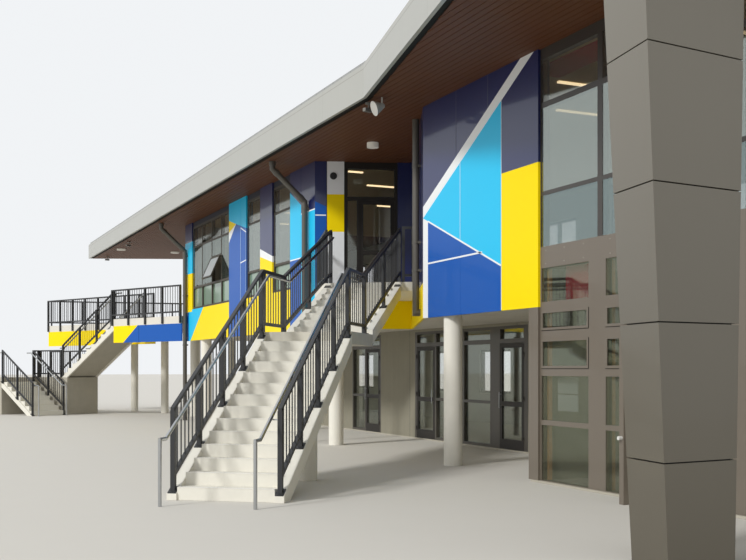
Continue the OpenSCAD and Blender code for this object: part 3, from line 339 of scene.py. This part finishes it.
# Geometry Nodes: equal boxes in a straight row, each one step from the last
def makeRow():
    tree = bpy.data.node_groups.new("rowOfBoxes", "GeometryNodeTree")
    tree.interface.new_socket(name="Geometry", in_out="OUTPUT", socket_type="NodeSocketGeometry")
    for label, kind, value in (("Count", "NodeSocketInt", 2), ("Step", "NodeSocketVector", (1, 0, 0)),
                               ("Size", "NodeSocketVector", (0.1, 0.1, 0.1)),
                               ("Material", "NodeSocketMaterial", None)):
        socket = tree.interface.new_socket(name=label, in_out="INPUT", socket_type=kind)
        if value is not None:
            socket.default_value = value
    given, result = tree.nodes.new("NodeGroupInput"), tree.nodes.new("NodeGroupOutput")
    line = tree.nodes.new("GeometryNodeMeshLine")
    cube = tree.nodes.new("GeometryNodeMeshCube")
    spread = tree.nodes.new("GeometryNodeInstanceOnPoints")
    real = tree.nodes.new("GeometryNodeRealizeInstances")
    dressed = tree.nodes.new("GeometryNodeSetMaterial")
    for start, end in ((given.outputs["Count"], line.inputs["Count"]),
                       (given.outputs["Step"], line.inputs["Offset"]),
                       (given.outputs["Size"], cube.inputs["Size"]),
                       (line.outputs[0], spread.inputs["Points"]),
                       (cube.outputs["Mesh"], spread.inputs["Instance"]),
                       (spread.outputs[0], real.inputs[0]),
                       (real.outputs[0], dressed.inputs["Geometry"]),
                       (given.outputs["Material"], dressed.inputs["Material"]),
                       (dressed.outputs[0], result.inputs[0])):
        tree.links.new(start, end)
    return tree


rowTree = makeRow()


# A row's mesh, moved to where its first box belongs and turned about the vertical
def rowMesh(name, count, step, size, material, place, turn=0.0):
    carrier = bpy.data.objects.new(name + "Carrier", bpy.data.meshes.new(name + "Seed"))
    bpy.context.scene.collection.objects.link(carrier)
    modifier = carrier.modifiers.new("row", "NODES")
    modifier.node_group = rowTree
    values = {"Count": count, "Step": step, "Size": size, "Material": material}
    for item in rowTree.interface.items_tree:
        if item.in_out == "INPUT":
            modifier[item.identifier] = values[item.name]
    shape = carrier.evaluated_get(bpy.context.evaluated_depsgraph_get())
    mesh = bpy.data.meshes.new_from_object(shape)
    carrier.modifiers.remove(modifier)
    bpy.data.objects.remove(carrier)
    mesh.transform(Matrix.Translation(place) @ Matrix.Rotation(math.radians(turn), 4, "Z"))
    mesh.materials.clear()
    return mesh


def addRows(name, rows, material):
    work = bmesh.new()
    for row in rows:
        mesh = rowMesh(name, material=material, **row)
        work.from_mesh(mesh)
        bpy.data.meshes.remove(mesh)
    addPiece(name, work, material)


# Soffit: dark boards along the eave, cut to the roof's outline in its two halves, stopping a little short of
# the fascia so the nearly black backing shows as a band along it
slats = {
    "pitch": 0.12, "width": 0.108, "thick": 0.016, "long": 40, "middle": -9, "front": -3.44, "back": 9.1,
    "colour": "683d22",
    "halves": [[(-28.53, -1.05), (0.1, -1.05), (0.1, 9.05), (-24.53, 9.05)],
               [(0.1, -1.05), (10.75, -3.32), (10.75, 9.05), (0.1, 9.05)]],
}


def addSlats(values):
    board = finishOf("soffitBoard", values["colour"], 0.55, clouds=0.3, scale=0.8, gloss=0.25)
    count = int((values["back"] - values["front"]) / values["pitch"])
    size = (values["long"], values["width"], values["thick"])
    first = placed(values["middle"], values["front"], plan["soffit"] - values["thick"] / 2)
    work = bmesh.new()
    for outline in values["halves"]:
        mesh = rowMesh("soffitSlats", count, (0, values["pitch"], 0), size, board, first)
        half = bmesh.new()
        half.from_mesh(mesh)
        for i, start in enumerate(outline):
            end = outline[(i + 1) % len(outline)]
            outwards = Vector((end[1] - start[1], start[0] - end[0], 0)).normalized()
            bmesh.ops.bisect_plane(half, geom=half.verts[:] + half.edges[:] + half.faces[:],
                                   plane_co=placed(*start, 0), plane_no=outwards, clear_outer=True)
        half.to_mesh(mesh)
        half.free()
        work.from_mesh(mesh)
        bpy.data.meshes.remove(mesh)
    addPiece("soffitSlats", work, board)


addSlats(slats)
print("soffit boards added")

# Joints that show as fine lines: place along the front, foot and head
claddingJoints = {
    "width": 0.014, "proud": 0.0015,
    "pale": [(2.655, 2.56, 5.785), (1.35, 3.785, 5.06), (-10.94, 2.56, 5.48), (-10.449, 2.56, 5.42)],
    "slate": [(1.21, 5.2, 6.29), (2.245, 5.775, 6.29)],
    "blue": [(1.35, 2.56, 3.765)],
}


def jointDraw(joints):
    def draw(work):
        for x, foot, head in joints:
            boxAt(work, (x, 0, (foot + head) / 2),
                  (claddingJoints["width"], 2 * claddingJoints["proud"], head - foot))
    return draw


joined("paleJoints", jointDraw(claddingJoints["pale"]), finishOf("paleJoint", "cfe2ea"))
joined("slateJoints", jointDraw(claddingJoints["slate"]), finishOf("slateJoint", "4a5066"))
joined("blueJoints", jointDraw(claddingJoints["blue"]), finish["cobalt_panels"])

# White lines set into the cladding, each from one point of a wall to another, in length and height
claddingLines = {
    "width": 0.028, "proud": 0.003,
    "front": [((0.19, 4.243), (2.645, 3.249)), ((0.19, 3.50), (2.07, 3.51)),
              ((-10.92, 5.49), (-10.44, 5.32)), ((-10.945, 4.536), (-10.44, 4.571)),
              ((-6.96, 4.217), (-6.22, 4.217)), ((-6.2, 5.23), (-5.32, 5.23))],
    "porch": [((0.01, 5.09), (0.25, 5.09))],
}


def drawLines(work):
    porchAngle = math.atan2(plan["porchRun"][1], plan["porchRun"][0])
    for start, angle, lines in (((0, 0), 0, claddingLines["front"]),
                                (plan["porchTurn"], porchAngle, claddingLines["porch"])):
        for low, high in lines:
            along, up = (low[0] + high[0]) / 2, (low[1] + high[1]) / 2
            run, rise = high[0] - low[0], high[1] - low[1]
            boxAt(work, (start[0] + math.cos(angle) * along, start[1] + math.sin(angle) * along, up),
                  (math.hypot(run, rise), 2 * claddingLines["proud"], claddingLines["width"]),
                  math.degrees(angle), math.degrees(math.atan2(rise, run)))


joined("claddingLines", drawLines, finish["white_panels"])

# Outer panes of the double glazing, close behind the faces of the frames. Each row mirrors something else:
# the panes mirror the backdrop, and each row's tint, cover and cover at a slant paint the reflection it
# shows; places are left, right, foot and head.
outerPanes = {
    "face": 0.047, "thick": 0.006,
    "rows": {
        "topPanes": ("e6eae2", 0.06, 0.16, [(3.71, 10.14, 5.47, 6.15), (-16.09, -12.1, 5.51, 6.1),
                                            (-10.38, -9.3, 5.51, 6.1), (-8.21, -7.02, 5.51, 6.1)]),
        "middlePanes": ("bcc4be", 0.45, 0.58, [(3.71, 10.14, 4.2, 5.46), (-10.38, -9.3, 4.23, 5.49),
                                              (-8.21, -7.02, 4.23, 5.49)]),
        "greenReflectionPanes": ("97a29a", 0.42, 0.55, [(-16.09, -13.97, 4.23, 5.49), (-12.96, -12.1, 4.23, 5.49),
                                              (-13.96, -12.97, 5.01, 5.49)]),
        "sillPanes": ("a3b2b0", 0.42, 0.55, [(3.71, 10.14, 3.4, 4.18)]),
        "lowPanes": ("858b72", 0.16, 0.26, [(3.71, 10.14, 0.04, 3.12)]),
    },
}


def panesDraw(places):
    def draw(work):
        for left, right, foot, head in places:
            boxAt(work, ((left + right) / 2, outerPanes["face"], (foot + head) / 2),
                  (right - left, outerPanes["thick"], head - foot))
    return draw


for name, (tint, cover, slanted, places) in outerPanes["rows"].items():
    joined(name, panesDraw(places), glassOf(name, tint, cover, slanted))

# Sills under the windows, from end to end: at the back a pitch apart, at the right end and over the deck
sills = {"deep": 0.05, "thick": 0.03, "over": 0.05, "levels": (0.93, 4.26),
         "backFirst": (8.0, 9.8), "backPitch": 3.25, "backCount": 10,
         "end": [(1.5, 3.3), (4.6, 6.4)], "deck": (-19.6, -17.8)}


def drawSills(work):
    deep, thick, over = sills["deep"], sills["thick"], sills["over"]
    for level in sills["levels"]:
        z = level - thick / 2
        for i in range(sills["backCount"]):
            left, right = [side - sills["backPitch"] * i for side in sills["backFirst"]]
            boxAt(work, ((left + right) / 2, plan["back"] + deep / 2, z),
                  (right - left + 2 * over, deep, thick))
        for near, far in sills["end"]:
            boxAt(work, (plan["rightEnd"] + deep / 2, (near + far) / 2, z),
                  (deep, far - near + 2 * over, thick))
    left, right = sills["deck"]
    boxAt(work, ((left + right) / 2, plan["deckWall"] - deep / 2, sills["levels"][1] - thick / 2),
          (right - left + 2 * over, deep, thick))


joined("windowSills", drawSills, finish["window_frames"])

# A round catch on the edge of the fin beside the pylon
finCatch = {"start": (6.2, -0.45, 0.81), "end": (6.2, -0.5, 0.81), "width": 0.05}


def drawCatch(work):
    rodAt(work, finCatch["start"], finCatch["end"], finCatch["width"])


joined("finCatch", drawCatch, finishOf("catchMetal", "d9d8d2", 0.35))

# The low panes' bays: edges round two rows of sashes, a dark strip of painted shadow below and beside each
# sash, and screws in the band over them, at three shares of a bay's width
lowBays = {
    "sides": [(3.71, 4.85), (5.23, 6.2), (6.58, 7.55), (7.93, 8.9), (9.28, 10.14)],
    "rows": [(1.66, 2.08), (2.21, 2.49)], "border": 0.035, "face": 0.04, "deep": 0.012, "gap": 0.009,
    "screwHeights": (3.17, 3.36), "screwShares": (0.1, 0.5, 0.9), "screwEnds": (0.045, 0.036), "screw": 0.014,
}


def drawSashEdges(work):
    border, face, deep = lowBays["border"], lowBays["face"], lowBays["deep"]
    for left, right in lowBays["sides"]:
        for foot, head in lowBays["rows"]:
            for z in (foot + border / 2, head - border / 2):
                boxAt(work, ((left + right) / 2, face, z), (right - left, deep, border))
            for x in (left + border / 2, right - border / 2):
                boxAt(work, (x, face, (foot + head) / 2), (border, deep, head - foot - 2 * border))


# Painted shadow: a dark strip under each sash and at its right, where its shadow falls
def drawSashShadows(work):
    gap, face, deep = lowBays["gap"], lowBays["face"], lowBays["deep"]
    for left, right in lowBays["sides"]:
        for foot, head in lowBays["rows"]:
            boxAt(work, ((left + right) / 2, face, foot - gap / 2), (right - left, deep, gap))
            boxAt(work, (right + gap / 2, face, (foot + head) / 2), (gap, deep, head - foot))


def drawScrews(work):
    near, far = lowBays["screwEnds"]
    for left, right in lowBays["sides"]:
        for share in lowBays["screwShares"]:
            x = left + share * (right - left)
            for z in lowBays["screwHeights"]:
                rodAt(work, (x, near, z), (x, far, z), lowBays["screw"], 8)


joined("sashEdges", drawSashEdges, finishOf("sashMetal", "6f665a", 0.4, coat=0.15, clouds=0.05))
joined("sashShadowStrips", drawSashShadows, finishOf("gapShade", "1f1c19", 0.7, gloss=0.2))
joined("bandScrews", drawScrews, finishOf("screwMetal", "b5b2aa", 0.35, 0.8))

# The open light's own pane: a pale sheet, a painted reflection of the sky; tilt is in degrees
openLight = {"left": -13.945, "right": -12.984, "hinge": 4.95, "face": 0.04, "tilt": 24, "border": 0.05,
             "tall": 0.7, "back": 0.03, "thick": 0.004, "colour": "ccd3d4"}


def drawOpenPane(work):
    tilt = math.radians(openLight["tilt"])
    c, s = math.cos(tilt), math.sin(tilt)
    border, middle, back = openLight["border"], openLight["tall"] / 2, openLight["back"]
    centre = placed((openLight["left"] + openLight["right"]) / 2,
                    openLight["face"] - s * middle - c * back, openLight["hinge"] - c * middle + s * back)
    size = (openLight["right"] - openLight["left"] - 2 * border, openLight["thick"],
            openLight["tall"] - 2 * border)
    way = Matrix.Translation(centre) @ Matrix.Rotation(-tilt, 4, "X")
    bmesh.ops.create_cube(work, size=1, matrix=way @ Matrix.Diagonal((*size, 1)))


# Pale colour that paints the sky's reflection on the open pane
openPaneSkyReflection = finishOf("openPaneSkyReflection", openLight["colour"], 0.12, coat=0.5, clouds=0.02)
joined("openPane", drawOpenPane, openPaneSkyReflection)

# A round vent with bars, in the porch's left wall: way is that wall's direction
vent = {"along": 0.415, "height": 5.969, "width": 0.16, "deep": 0.02, "way": (0.3314, 0.9435),
        "bars": 5, "bar": 0.018, "barDeep": 0.03, "barGap": 0.026}


def drawVent(work):
    wayX, wayY = vent["way"]
    x = plan["porchTurn"][0] + wayX * vent["along"]
    y = plan["porchTurn"][1] + wayY * vent["along"]

    def outwards(z, deep, width, sides):
        rodAt(work, (x, y, z), (x + wayY * deep, y - wayX * deep, z), width, sides)

    outwards(vent["height"], vent["deep"], vent["width"], 32)
    for i in range(vent["bars"]):
        up = vent["height"] + (i - vent["bars"] // 2) * vent["barGap"]
        outwards(up, vent["barDeep"], vent["bar"], 8)


joined("roundVent", drawVent, charcoalPaint)

# Fittings under the eave. A disc, dome, base or stem is how far it hangs down and how wide it is.
eaveUnder = plan["soffit"] - slats["thick"]
roundLights = {"places": [(-24.4, -0.66), (-24.59, 1.49), (-19.5, 1.2)], "disc": (0.05, 0.34),
               "domePlace": (-3.06, 0.40), "dome": (0.1, 0.24)}
cameras = {"places": [(-22.0, -0.83), (-27.4, -0.63), (-0.12, -1.0)], "base": (0.03, 0.12),
           "stem": (0.12, 0.03), "body": (0.07, 0.17, 0.06), "shift": (0.02, -0.03), "drop": 0.14,
           "turn": 20}
horn = {"place": (0.3, -0.94), "stem": (0.12, 0.03), "throatShift": (-0.05, 0.06), "throatDrop": 0.12,
        "mouthShift": (-0.06, -0.12), "mouthDrop": 0.19, "throat": 0.07, "mouth": 0.26}


def underEave(place, shift, drop):
    return (place[0] + shift[0], place[1] + shift[1], eaveUnder - drop)


def hang(work, place, fitting, sides):
    drop, width = fitting
    rodAt(work, (*place, eaveUnder), (*place, eaveUnder - drop), width, sides)


def drawRoundLights(work):
    for place in roundLights["places"]:
        hang(work, place, roundLights["disc"], 24)
    hang(work, roundLights["domePlace"], roundLights["dome"], 24)


def drawCameras(work):
    for place in cameras["places"]:
        hang(work, place, cameras["base"], 16)
        hang(work, place, cameras["stem"], 12)
        boxAt(work, underEave(place, cameras["shift"], cameras["drop"]), cameras["body"], cameras["turn"])


def drawHorn(work):
    hang(work, horn["place"], horn["stem"], 12)
    rodAt(work, underEave(horn["place"], horn["throatShift"], horn["throatDrop"]),
          underEave(horn["place"], horn["mouthShift"], horn["mouthDrop"]), horn["throat"], 28, horn["mouth"])


joined("eaveLights", drawRoundLights, glowOf("lampShade", "d9d5cb", 0.15))
joined("eaveCameras", drawCameras, finishOf("cameraShell", "6f6c66", 0.35))
joined("eaveHorn", drawHorn, finishOf("hornShell", "b9b6ae", 0.45))
print("facade details added")

# Rooms seen through the glass. A ceiling has two corners, and a light strip its place along the front
# and its near and far end. Posts and boards are a box's size and the middles of the boxes of that size.
rooms = {
    "ceilings": [((-16.7, 0.3), (-5.6, 7.7)), ((-5.6, 2.4), (10.1, 7.7)), ((0.3, 0.25), (10.1, 2.4))],
    "ceilingHeight": 6.26, "ceilingThick": 0.02,
    "strips": [(2.5, 1.15, 1.95), (0.95, 2.17, 3.1), (-5.9, 1.06, 1.42), (-7.4, 2.2, 2.95),
               (-10.3, 3.8, 4.25), (5.6, 1.4, 2.6), (7.6, 1.4, 2.6), (-12.6, 1.6, 2.8), (-14.9, 1.6, 2.8)],
    "stripWide": 0.06, "stripThick": 0.03,
    "groundStrips": [(-1.6, 4.2, 5.4), (-3.9, 4.2, 5.4), (-9.0, 4.2, 5.4), (5.2, 2.2, 3.4), (8.0, 2.2, 3.4)],
    "groundStripWide": 0.12, "groundStripThick": 0.05, "groundStripHeight": 3.08,
    "timberPosts": [((0.06, 0.06, 3.06), [(x, 0.175, 1.57) for x in (3.71, 5.19, 6.54, 7.89, 9.24)])],
    "redBoards": [((7.4, 0.56, 0.02), [(6.45, 0.72, 6.24)]),
                  ((0.8, 0.02, 0.5), [(x, 0.2, 2.86) for x in (4.5, 5.8, 7.15)])],
    "greyBoards": [((0.49, 0.012, 0.235), [(4.14, 0.2, z) for z in (1.416, 1.166)])],
}


def drawCeilings(work):
    thick = rooms["ceilingThick"]
    for low, high in rooms["ceilings"]:
        boxAt(work, ((low[0] + high[0]) / 2, (low[1] + high[1]) / 2, rooms["ceilingHeight"] + thick / 2),
              (high[0] - low[0], high[1] - low[1], thick))


def drawStrips(work):
    thick = rooms["stripThick"]
    for x, near, far in rooms["strips"]:
        boxAt(work, (x, (near + far) / 2, rooms["ceilingHeight"] - thick / 2),
              (rooms["stripWide"], far - near, thick))
    for x, near, far in rooms["groundStrips"]:
        boxAt(work, (x, (near + far) / 2, rooms["groundStripHeight"]),
              (rooms["groundStripWide"], far - near, rooms["groundStripThick"]))


def boxesDraw(boxes):
    def draw(work):
        for size, middles in boxes:
            for middle in middles:
                boxAt(work, middle, size)
    return draw


joined("roomCeilings", drawCeilings, finishOf("ceilingBoard", "cbb98c", 0.8))
joined("roomLights", drawStrips, glowOf("tubeLight", "f5dcae", 1.5))
joined("timberPosts", boxesDraw(rooms["timberPosts"]), finishOf("timber", "dda364", clouds=0.3, scale=6))
joined("redBoards", boxesDraw(rooms["redBoards"]), finishOf("redBoard", "b81f30", 0.6, clouds=0.2))
joined("greyBoards", boxesDraw(rooms["greyBoards"]), finishOf("greyBoard", "a3aba6", 0.6))
print("rooms dressed")

# Sockets on the two wing pipes: two on each sloped run, so far from its ends, and upright ones, each
# with its place into the building, foot and head
pipeSockets = {"pipes": (-16.715, -5.75), "wide": 0.152, "long": 0.09,
               "runFoot": (-0.085, 5.44), "runHead": (-0.85, 6.13), "fromFoot": 0.08, "fromHead": 0.17,
               "upright": [(-0.085, 5.29, 5.38), (-0.85, 6.2, 6.294), (-0.085, 0.0, 0.1)]}


def drawSockets(work):
    (footY, footZ), (headY, headZ) = pipeSockets["runFoot"], pipeSockets["runHead"]
    span = math.hypot(headY - footY, headZ - footZ)
    wayY, wayZ = (headY - footY) / span, (headZ - footZ) / span
    for x in pipeSockets["pipes"]:
        for start in (pipeSockets["fromFoot"], span - pipeSockets["fromHead"]):
            end = start + pipeSockets["long"]
            rodAt(work, (x, footY + wayY * start, footZ + wayZ * start),
                  (x, footY + wayY * end, footZ + wayZ * end), pipeSockets["wide"], 24)
        for y, foot, head in pipeSockets["upright"]:
            rodAt(work, (x, y, foot), (x, y, head), pipeSockets["wide"], 24)


# Brackets round the downpipes. Each pipe has its axis, the direction out from its wall, and the
# brackets' heights; an arm as deep and wide as given reaches back from each ring to the wall.
pipeBrackets = {
    "pipes": [((-16.715, -0.085), (0, -1), (0.6, 2.4, 3.99, 5.26)),
              ((-5.75, -0.085), (0, -1), (0.6, 2.4, 3.99, 5.26)),
              ((-0.902, 0.309), (-0.4071, -0.9134), (3.46, 3.98, 5.4))],
    "ring": 0.146, "tall": 0.045, "arm": (0.05, 0.17), "armBack": 0.06,
}


def drawBrackets(work):
    tall, back = pipeBrackets["tall"], pipeBrackets["armBack"]
    for axis, out, heights in pipeBrackets["pipes"]:
        turn = math.degrees(math.atan2(out[1], out[0]))
        for z in heights:
            rodAt(work, (*axis, z), (*axis, z + tall), pipeBrackets["ring"], 24)
            boxAt(work, (axis[0] - out[0] * back, axis[1] - out[1] * back, z + tall / 2),
                  (*pipeBrackets["arm"], tall), turn)


joined("pipeSockets", drawSockets, finish["downpipes"])
joined("pipeBrackets", drawBrackets, finish["downpipes"])

# The deck's line: where it leaves the wing, and its turn in degrees
deckLine = {"start": (-16.7, -0.2), "turn": 205.16}


# A place on a turned line that starts at a point: so far along it, sideways from it and up
def turnedPlace(start, turn, along, side, z):
    c, s = math.cos(math.radians(turn)), math.sin(math.radians(turn))
    return (start[0] + c * along - s * side, start[1] + s * along + c * side, z)


def deckPlace(along, side, z):
    return turnedPlace(deckLine["start"], deckLine["turn"], along, side, z)


# Every flight: its foot and turn, the number and size of its steps, and the posts along it. Posts and
# handrails stand so far sideways from its middle, and post plates lie so far below the steps' noses.
flights = {
    "lower": {"foot": (3.918, -4.754, 0.0), "turn": 143.75, "steps": 13, "going": 0.28, "riser": 0.16,
              "wide": 1.276, "posts": [0.03, 0.924, 1.819, 2.714, 3.608], "post": 0.705, "hand": 0.6,
              "sink": 0.06},
    "upper": {"foot": (-0.276, -1.679, 2.24), "turn": 143.75, "steps": 7, "going": 0.38, "riser": 0.14,
              "wide": 1.276, "posts": [-0.35, 1.259, 2.61], "post": 0.705, "hand": 0.6, "sink": 0.06},
    "deckUpper": {"foot": deckPlace(6.84, -0.68, plan["deckLanding"]), "turn": 25.16, "steps": 11,
                  "going": 0.29, "riser": 0.168, "wide": 1.176, "posts": [0.03, 1.073, 2.117, 3.16],
                  "post": 0.62, "hand": 0.55, "sink": 0.168},
    "deckLower": {"foot": deckPlace(6.3, 0.85, 0.0), "turn": 205.16, "steps": 7, "going": 0.29,
                  "riser": 0.168, "wide": 1.176, "posts": [0.03, 1.015, 2.0], "post": 0.62, "hand": 0.55,
                  "sink": 0.168},
}


def flightPlace(flight, along, side, z):
    return turnedPlace(flight["foot"], flight["turn"], along, side, flight["foot"][2] + z)


# Level balustrades at the deck's far end and back edge, and round the landing of its stair: start,
# end and level of each
deckEnd = deckPlace(10.43, -1.75, 0)
guards = {
    "runs": [((deckEnd[0] + 0.07, deckEnd[1] + 0.08), (deckEnd[0] + 1.05, 4.14), plan["floor"]),
             ((deckEnd[0] + 1.1, 4.14), (-22.54, 4.14), plan["floor"]),
             (deckPlace(6.9, -1.3, 0), deckPlace(9.6, -1.3, 0), plan["deckLanding"]),
             (deckPlace(6.9, -0.06, 0), deckPlace(8.33, -0.06, 0), plan["deckLanding"]),
             (deckPlace(8.33, -0.02, 0), deckPlace(8.33, 0.19, 0), plan["deckLanding"])],
    "high": 1.005, "rail": 0.05, "post": 0.06, "bar": 0.014, "gap": 0.125, "low": 0.11, "bay": 1.2,
}


# Two rails, posts a bay apart, and bars a gap apart between the rails
def guardRows(start, end, level):
    high, rail, post, bar, low = [guards[key] for key in ("high", "rail", "post", "bar", "low")]
    long = math.hypot(end[0] - start[0], end[1] - start[1])
    turn = math.degrees(math.atan2(end[1] - start[1], end[0] - start[0]))
    bars, bays = max(int(long / guards["gap"]), 1), max(round(long / guards["bay"]), 1)
    inner = high - low - 2 * rail

    def at(along, z):
        share = along / long
        return placed(start[0] + (end[0] - start[0]) * share, start[1] + (end[1] - start[1]) * share,
                      level + z)

    rows = [
        {"count": 2, "step": (0, 0, high - low - rail), "size": (long, rail, rail),
         "place": at(long / 2, low + rail / 2), "turn": turn},
        {"count": bays + 1, "step": ((long - post) / bays, 0, 0), "size": (post, post, high - rail),
         "place": at(post / 2, (high - rail) / 2), "turn": turn},
    ]
    if bars > 1:
        rows.append({"count": bars - 1, "step": (long / bars, 0, 0), "size": (bar, bar, inner),
                     "place": at(long / bars, low + rail + inner / 2), "turn": turn})
    return rows


addRows("levelGuards", [row for run in guards["runs"] for row in guardRows(*run)],
        finish["deck_balustrade"])

# A thin pale edge on every step
nosing = {"wide": 0.05, "proud": 0.004, "thick": 0.006, "colour": "efece3"}


def nosingRow(flight):
    start = flightPlace(flight, nosing["wide"] / 2 - nosing["proud"], 0,
                        flight["riser"] + nosing["thick"] / 2)
    return {"count": flight["steps"], "step": (flight["going"], 0, flight["riser"]),
            "size": (nosing["wide"], flight["wide"], nosing["thick"]), "place": placed(*start),
            "turn": flight["turn"]}


addRows("stepEdges", [nosingRow(flight) for flight in flights.values()],
        finishOf("stepEdge", nosing["colour"], 0.7))

# Plates under the posts, arms from the posts to the handrail, and round ends at the deck stair's foot,
# which stand so far in front of it on a base that is as wide and thick as given
railFittings = {"plate": (0.14, 0.11, 0.014), "handHeight": 0.9, "drop": 0.055, "arm": 0.016,
                "armShort": 0.02, "endAlong": -0.25, "end": 0.046, "base": (0.11, 0.01)}


# A post with a place below zero stands on the level before its flight
def drawPostPlates(work):
    long, _, thick = railFittings["plate"]
    for flight in flights.values():
        rise = flight["riser"] / flight["going"]
        slope = math.atan(rise)
        lowest = thick / 2 + long / 2 * math.sin(slope)
        for along in flight["posts"]:
            level, tilt = thick / 2, 0
            if along > 0:
                level = max(flight["riser"] - flight["sink"] + rise * along + thick / 2, lowest)
                tilt = math.degrees(slope)
            for side in (-1, 1):
                boxAt(work, flightPlace(flight, along, side * flight["post"], level),
                      railFittings["plate"], flight["turn"], tilt)


def drawHandrailArms(work):
    drop, arm = railFittings["drop"], railFittings["arm"]
    for flight in flights.values():
        rise = flight["riser"] / flight["going"]
        reach = flight["post"] - railFittings["armShort"]
        for along in flight["posts"]:
            hand = railFittings["handHeight"]
            if along > 0:
                hand = flight["riser"] + rise * along + railFittings["handHeight"]
            for side in (-1, 1):
                low = flightPlace(flight, along, side * flight["hand"], hand - drop)
                rodAt(work, flightPlace(flight, along, side * flight["hand"], hand), low, arm, 10)
                rodAt(work, low, flightPlace(flight, along, side * reach, hand - drop), arm, 10)


def drawRailEnds(work):
    flight = flights["deckLower"]
    baseWide, baseThick = railFittings["base"]
    top = flight["riser"] + railFittings["handHeight"]
    for side in (-1, 1):
        foot, head, base = [flightPlace(flight, railFittings["endAlong"], side * flight["hand"], z)
                            for z in (0, top, baseThick)]
        rodAt(work, foot, head, railFittings["end"], 20)
        rodAt(work, foot, base, baseWide, 20)


joined("railEnds", drawRailEnds, finish["handrails"])
joined("postPlates", drawPostPlates, charcoalPaint)
joined("handrailArms", drawHandrailArms, finish["handrails"])
print("stair dressed")

# Door handles: an upright bar on two arms on each side of every ground-floor door. Each face of a leaf
# has its place and the direction out of it.
handles = {
    "doors": {"door_left": -8.545, "door_middle": -4.775, "door_right": -1.795}, "level": 1.02,
    "faces": [(2.7, -1), (2.745, 1)], "reach": 0.05, "half": 0.16, "bar": 0.018, "armHalf": 0.12,
    "arm": 0.014,
}


def handleDraw(x):
    def draw(work):
        level, half, armHalf = handles["level"], handles["half"], handles["armHalf"]
        for face, out in handles["faces"]:
            reach = face + out * handles["reach"]
            for z in (level - armHalf, level + armHalf):
                rodAt(work, (x, face, z), (x, reach, z), handles["arm"], 12)
            rodAt(work, (x, reach, level - half), (x, reach, level + half), handles["bar"], 12)
    return draw


for body, x in handles["doors"].items():
    joined(body + "Handle", handleDraw(x), finish["handrails"], body)
print("door handles added")

cameraView = {"place": (16.604 + siteX, -8.452 + siteY, 1.65), "turn": 65.75, "lens": 50.67, "sensor": 36,
              "shiftUp": 0.1193, "farthest": 500}


def addCamera(view):
    camera = bpy.data.objects.new("camera", bpy.data.cameras.new("camera"))
    bpy.context.scene.collection.objects.link(camera)
    camera.location = view["place"]
    camera.rotation_euler = (math.radians(90), 0, math.radians(view["turn"]))
    camera.data.sensor_width = view["sensor"]
    camera.data.lens = view["lens"]
    camera.data.shift_y = view["shiftUp"]
    camera.data.clip_end = view["farthest"]
    bpy.context.scene.camera = camera


# The sun's turn, height and width are in degrees; the sky lights the model, and the camera and
# mirrors see the backdrop instead
studio = {"sunTurn": 20, "sunHeight": 34, "sunWide": 9, "sunStrength": 2.1,
          "sky": (0.95, 0.97, 1.0), "skyStrength": 0.78, "backdrop": (0.88, 0.9, 0.92),
          "floorSize": 600, "floorDrop": 0.002, "floorColour": "cfcbc2"}


def addSun(values):
    lamp = bpy.data.objects.new("softSun", bpy.data.lights.new("softSun", "SUN"))
    lamp.data.energy = values["sunStrength"]
    lamp.data.angle = math.radians(values["sunWide"])
    lamp.rotation_euler = (math.radians(90 - values["sunHeight"]), 0, math.radians(values["sunTurn"]))
    bpy.context.scene.collection.objects.link(lamp)


def addWorld(values):
    world = bpy.data.worlds.new("studio")
    bpy.context.scene.world = world
    world.use_nodes = True
    tree = world.node_tree
    tree.nodes.clear()
    output = tree.nodes.new("ShaderNodeOutputWorld")
    lit = tree.nodes.new("ShaderNodeBackground")
    lit.inputs["Color"].default_value = (*values["sky"], 1)
    lit.inputs["Strength"].default_value = values["skyStrength"]
    seen = tree.nodes.new("ShaderNodeBackground")
    seen.inputs["Color"].default_value = (*values["backdrop"], 1)
    seen.inputs["Strength"].default_value = 1
    ray = tree.nodes.new("ShaderNodeLightPath")
    either = mathNode(tree, "MAXIMUM", ray.outputs["Is Camera Ray"], ray.outputs["Is Glossy Ray"])
    mix = tree.nodes.new("ShaderNodeMixShader")
    for start, end in ((either, mix.inputs[0]), (lit.outputs[0], mix.inputs[1]),
                       (seen.outputs[0], mix.inputs[2]), (mix.outputs[0], output.inputs["Surface"])):
        tree.links.new(start, end)


def addFloor(values):
    bpy.ops.mesh.primitive_plane_add(size=values["floorSize"], location=(0, 0, -values["floorDrop"]))
    floor = bpy.context.object
    floor.name = "floor"
    floor.data.materials.append(finishOf("floorPale", values["floorColour"], 0.9, clouds=0.03))


addCamera(cameraView)
addSun(studio)
addWorld(studio)
addFloor(studio)
bpy.context.scene.view_settings.view_transform = "Standard"
print("camera and light set")
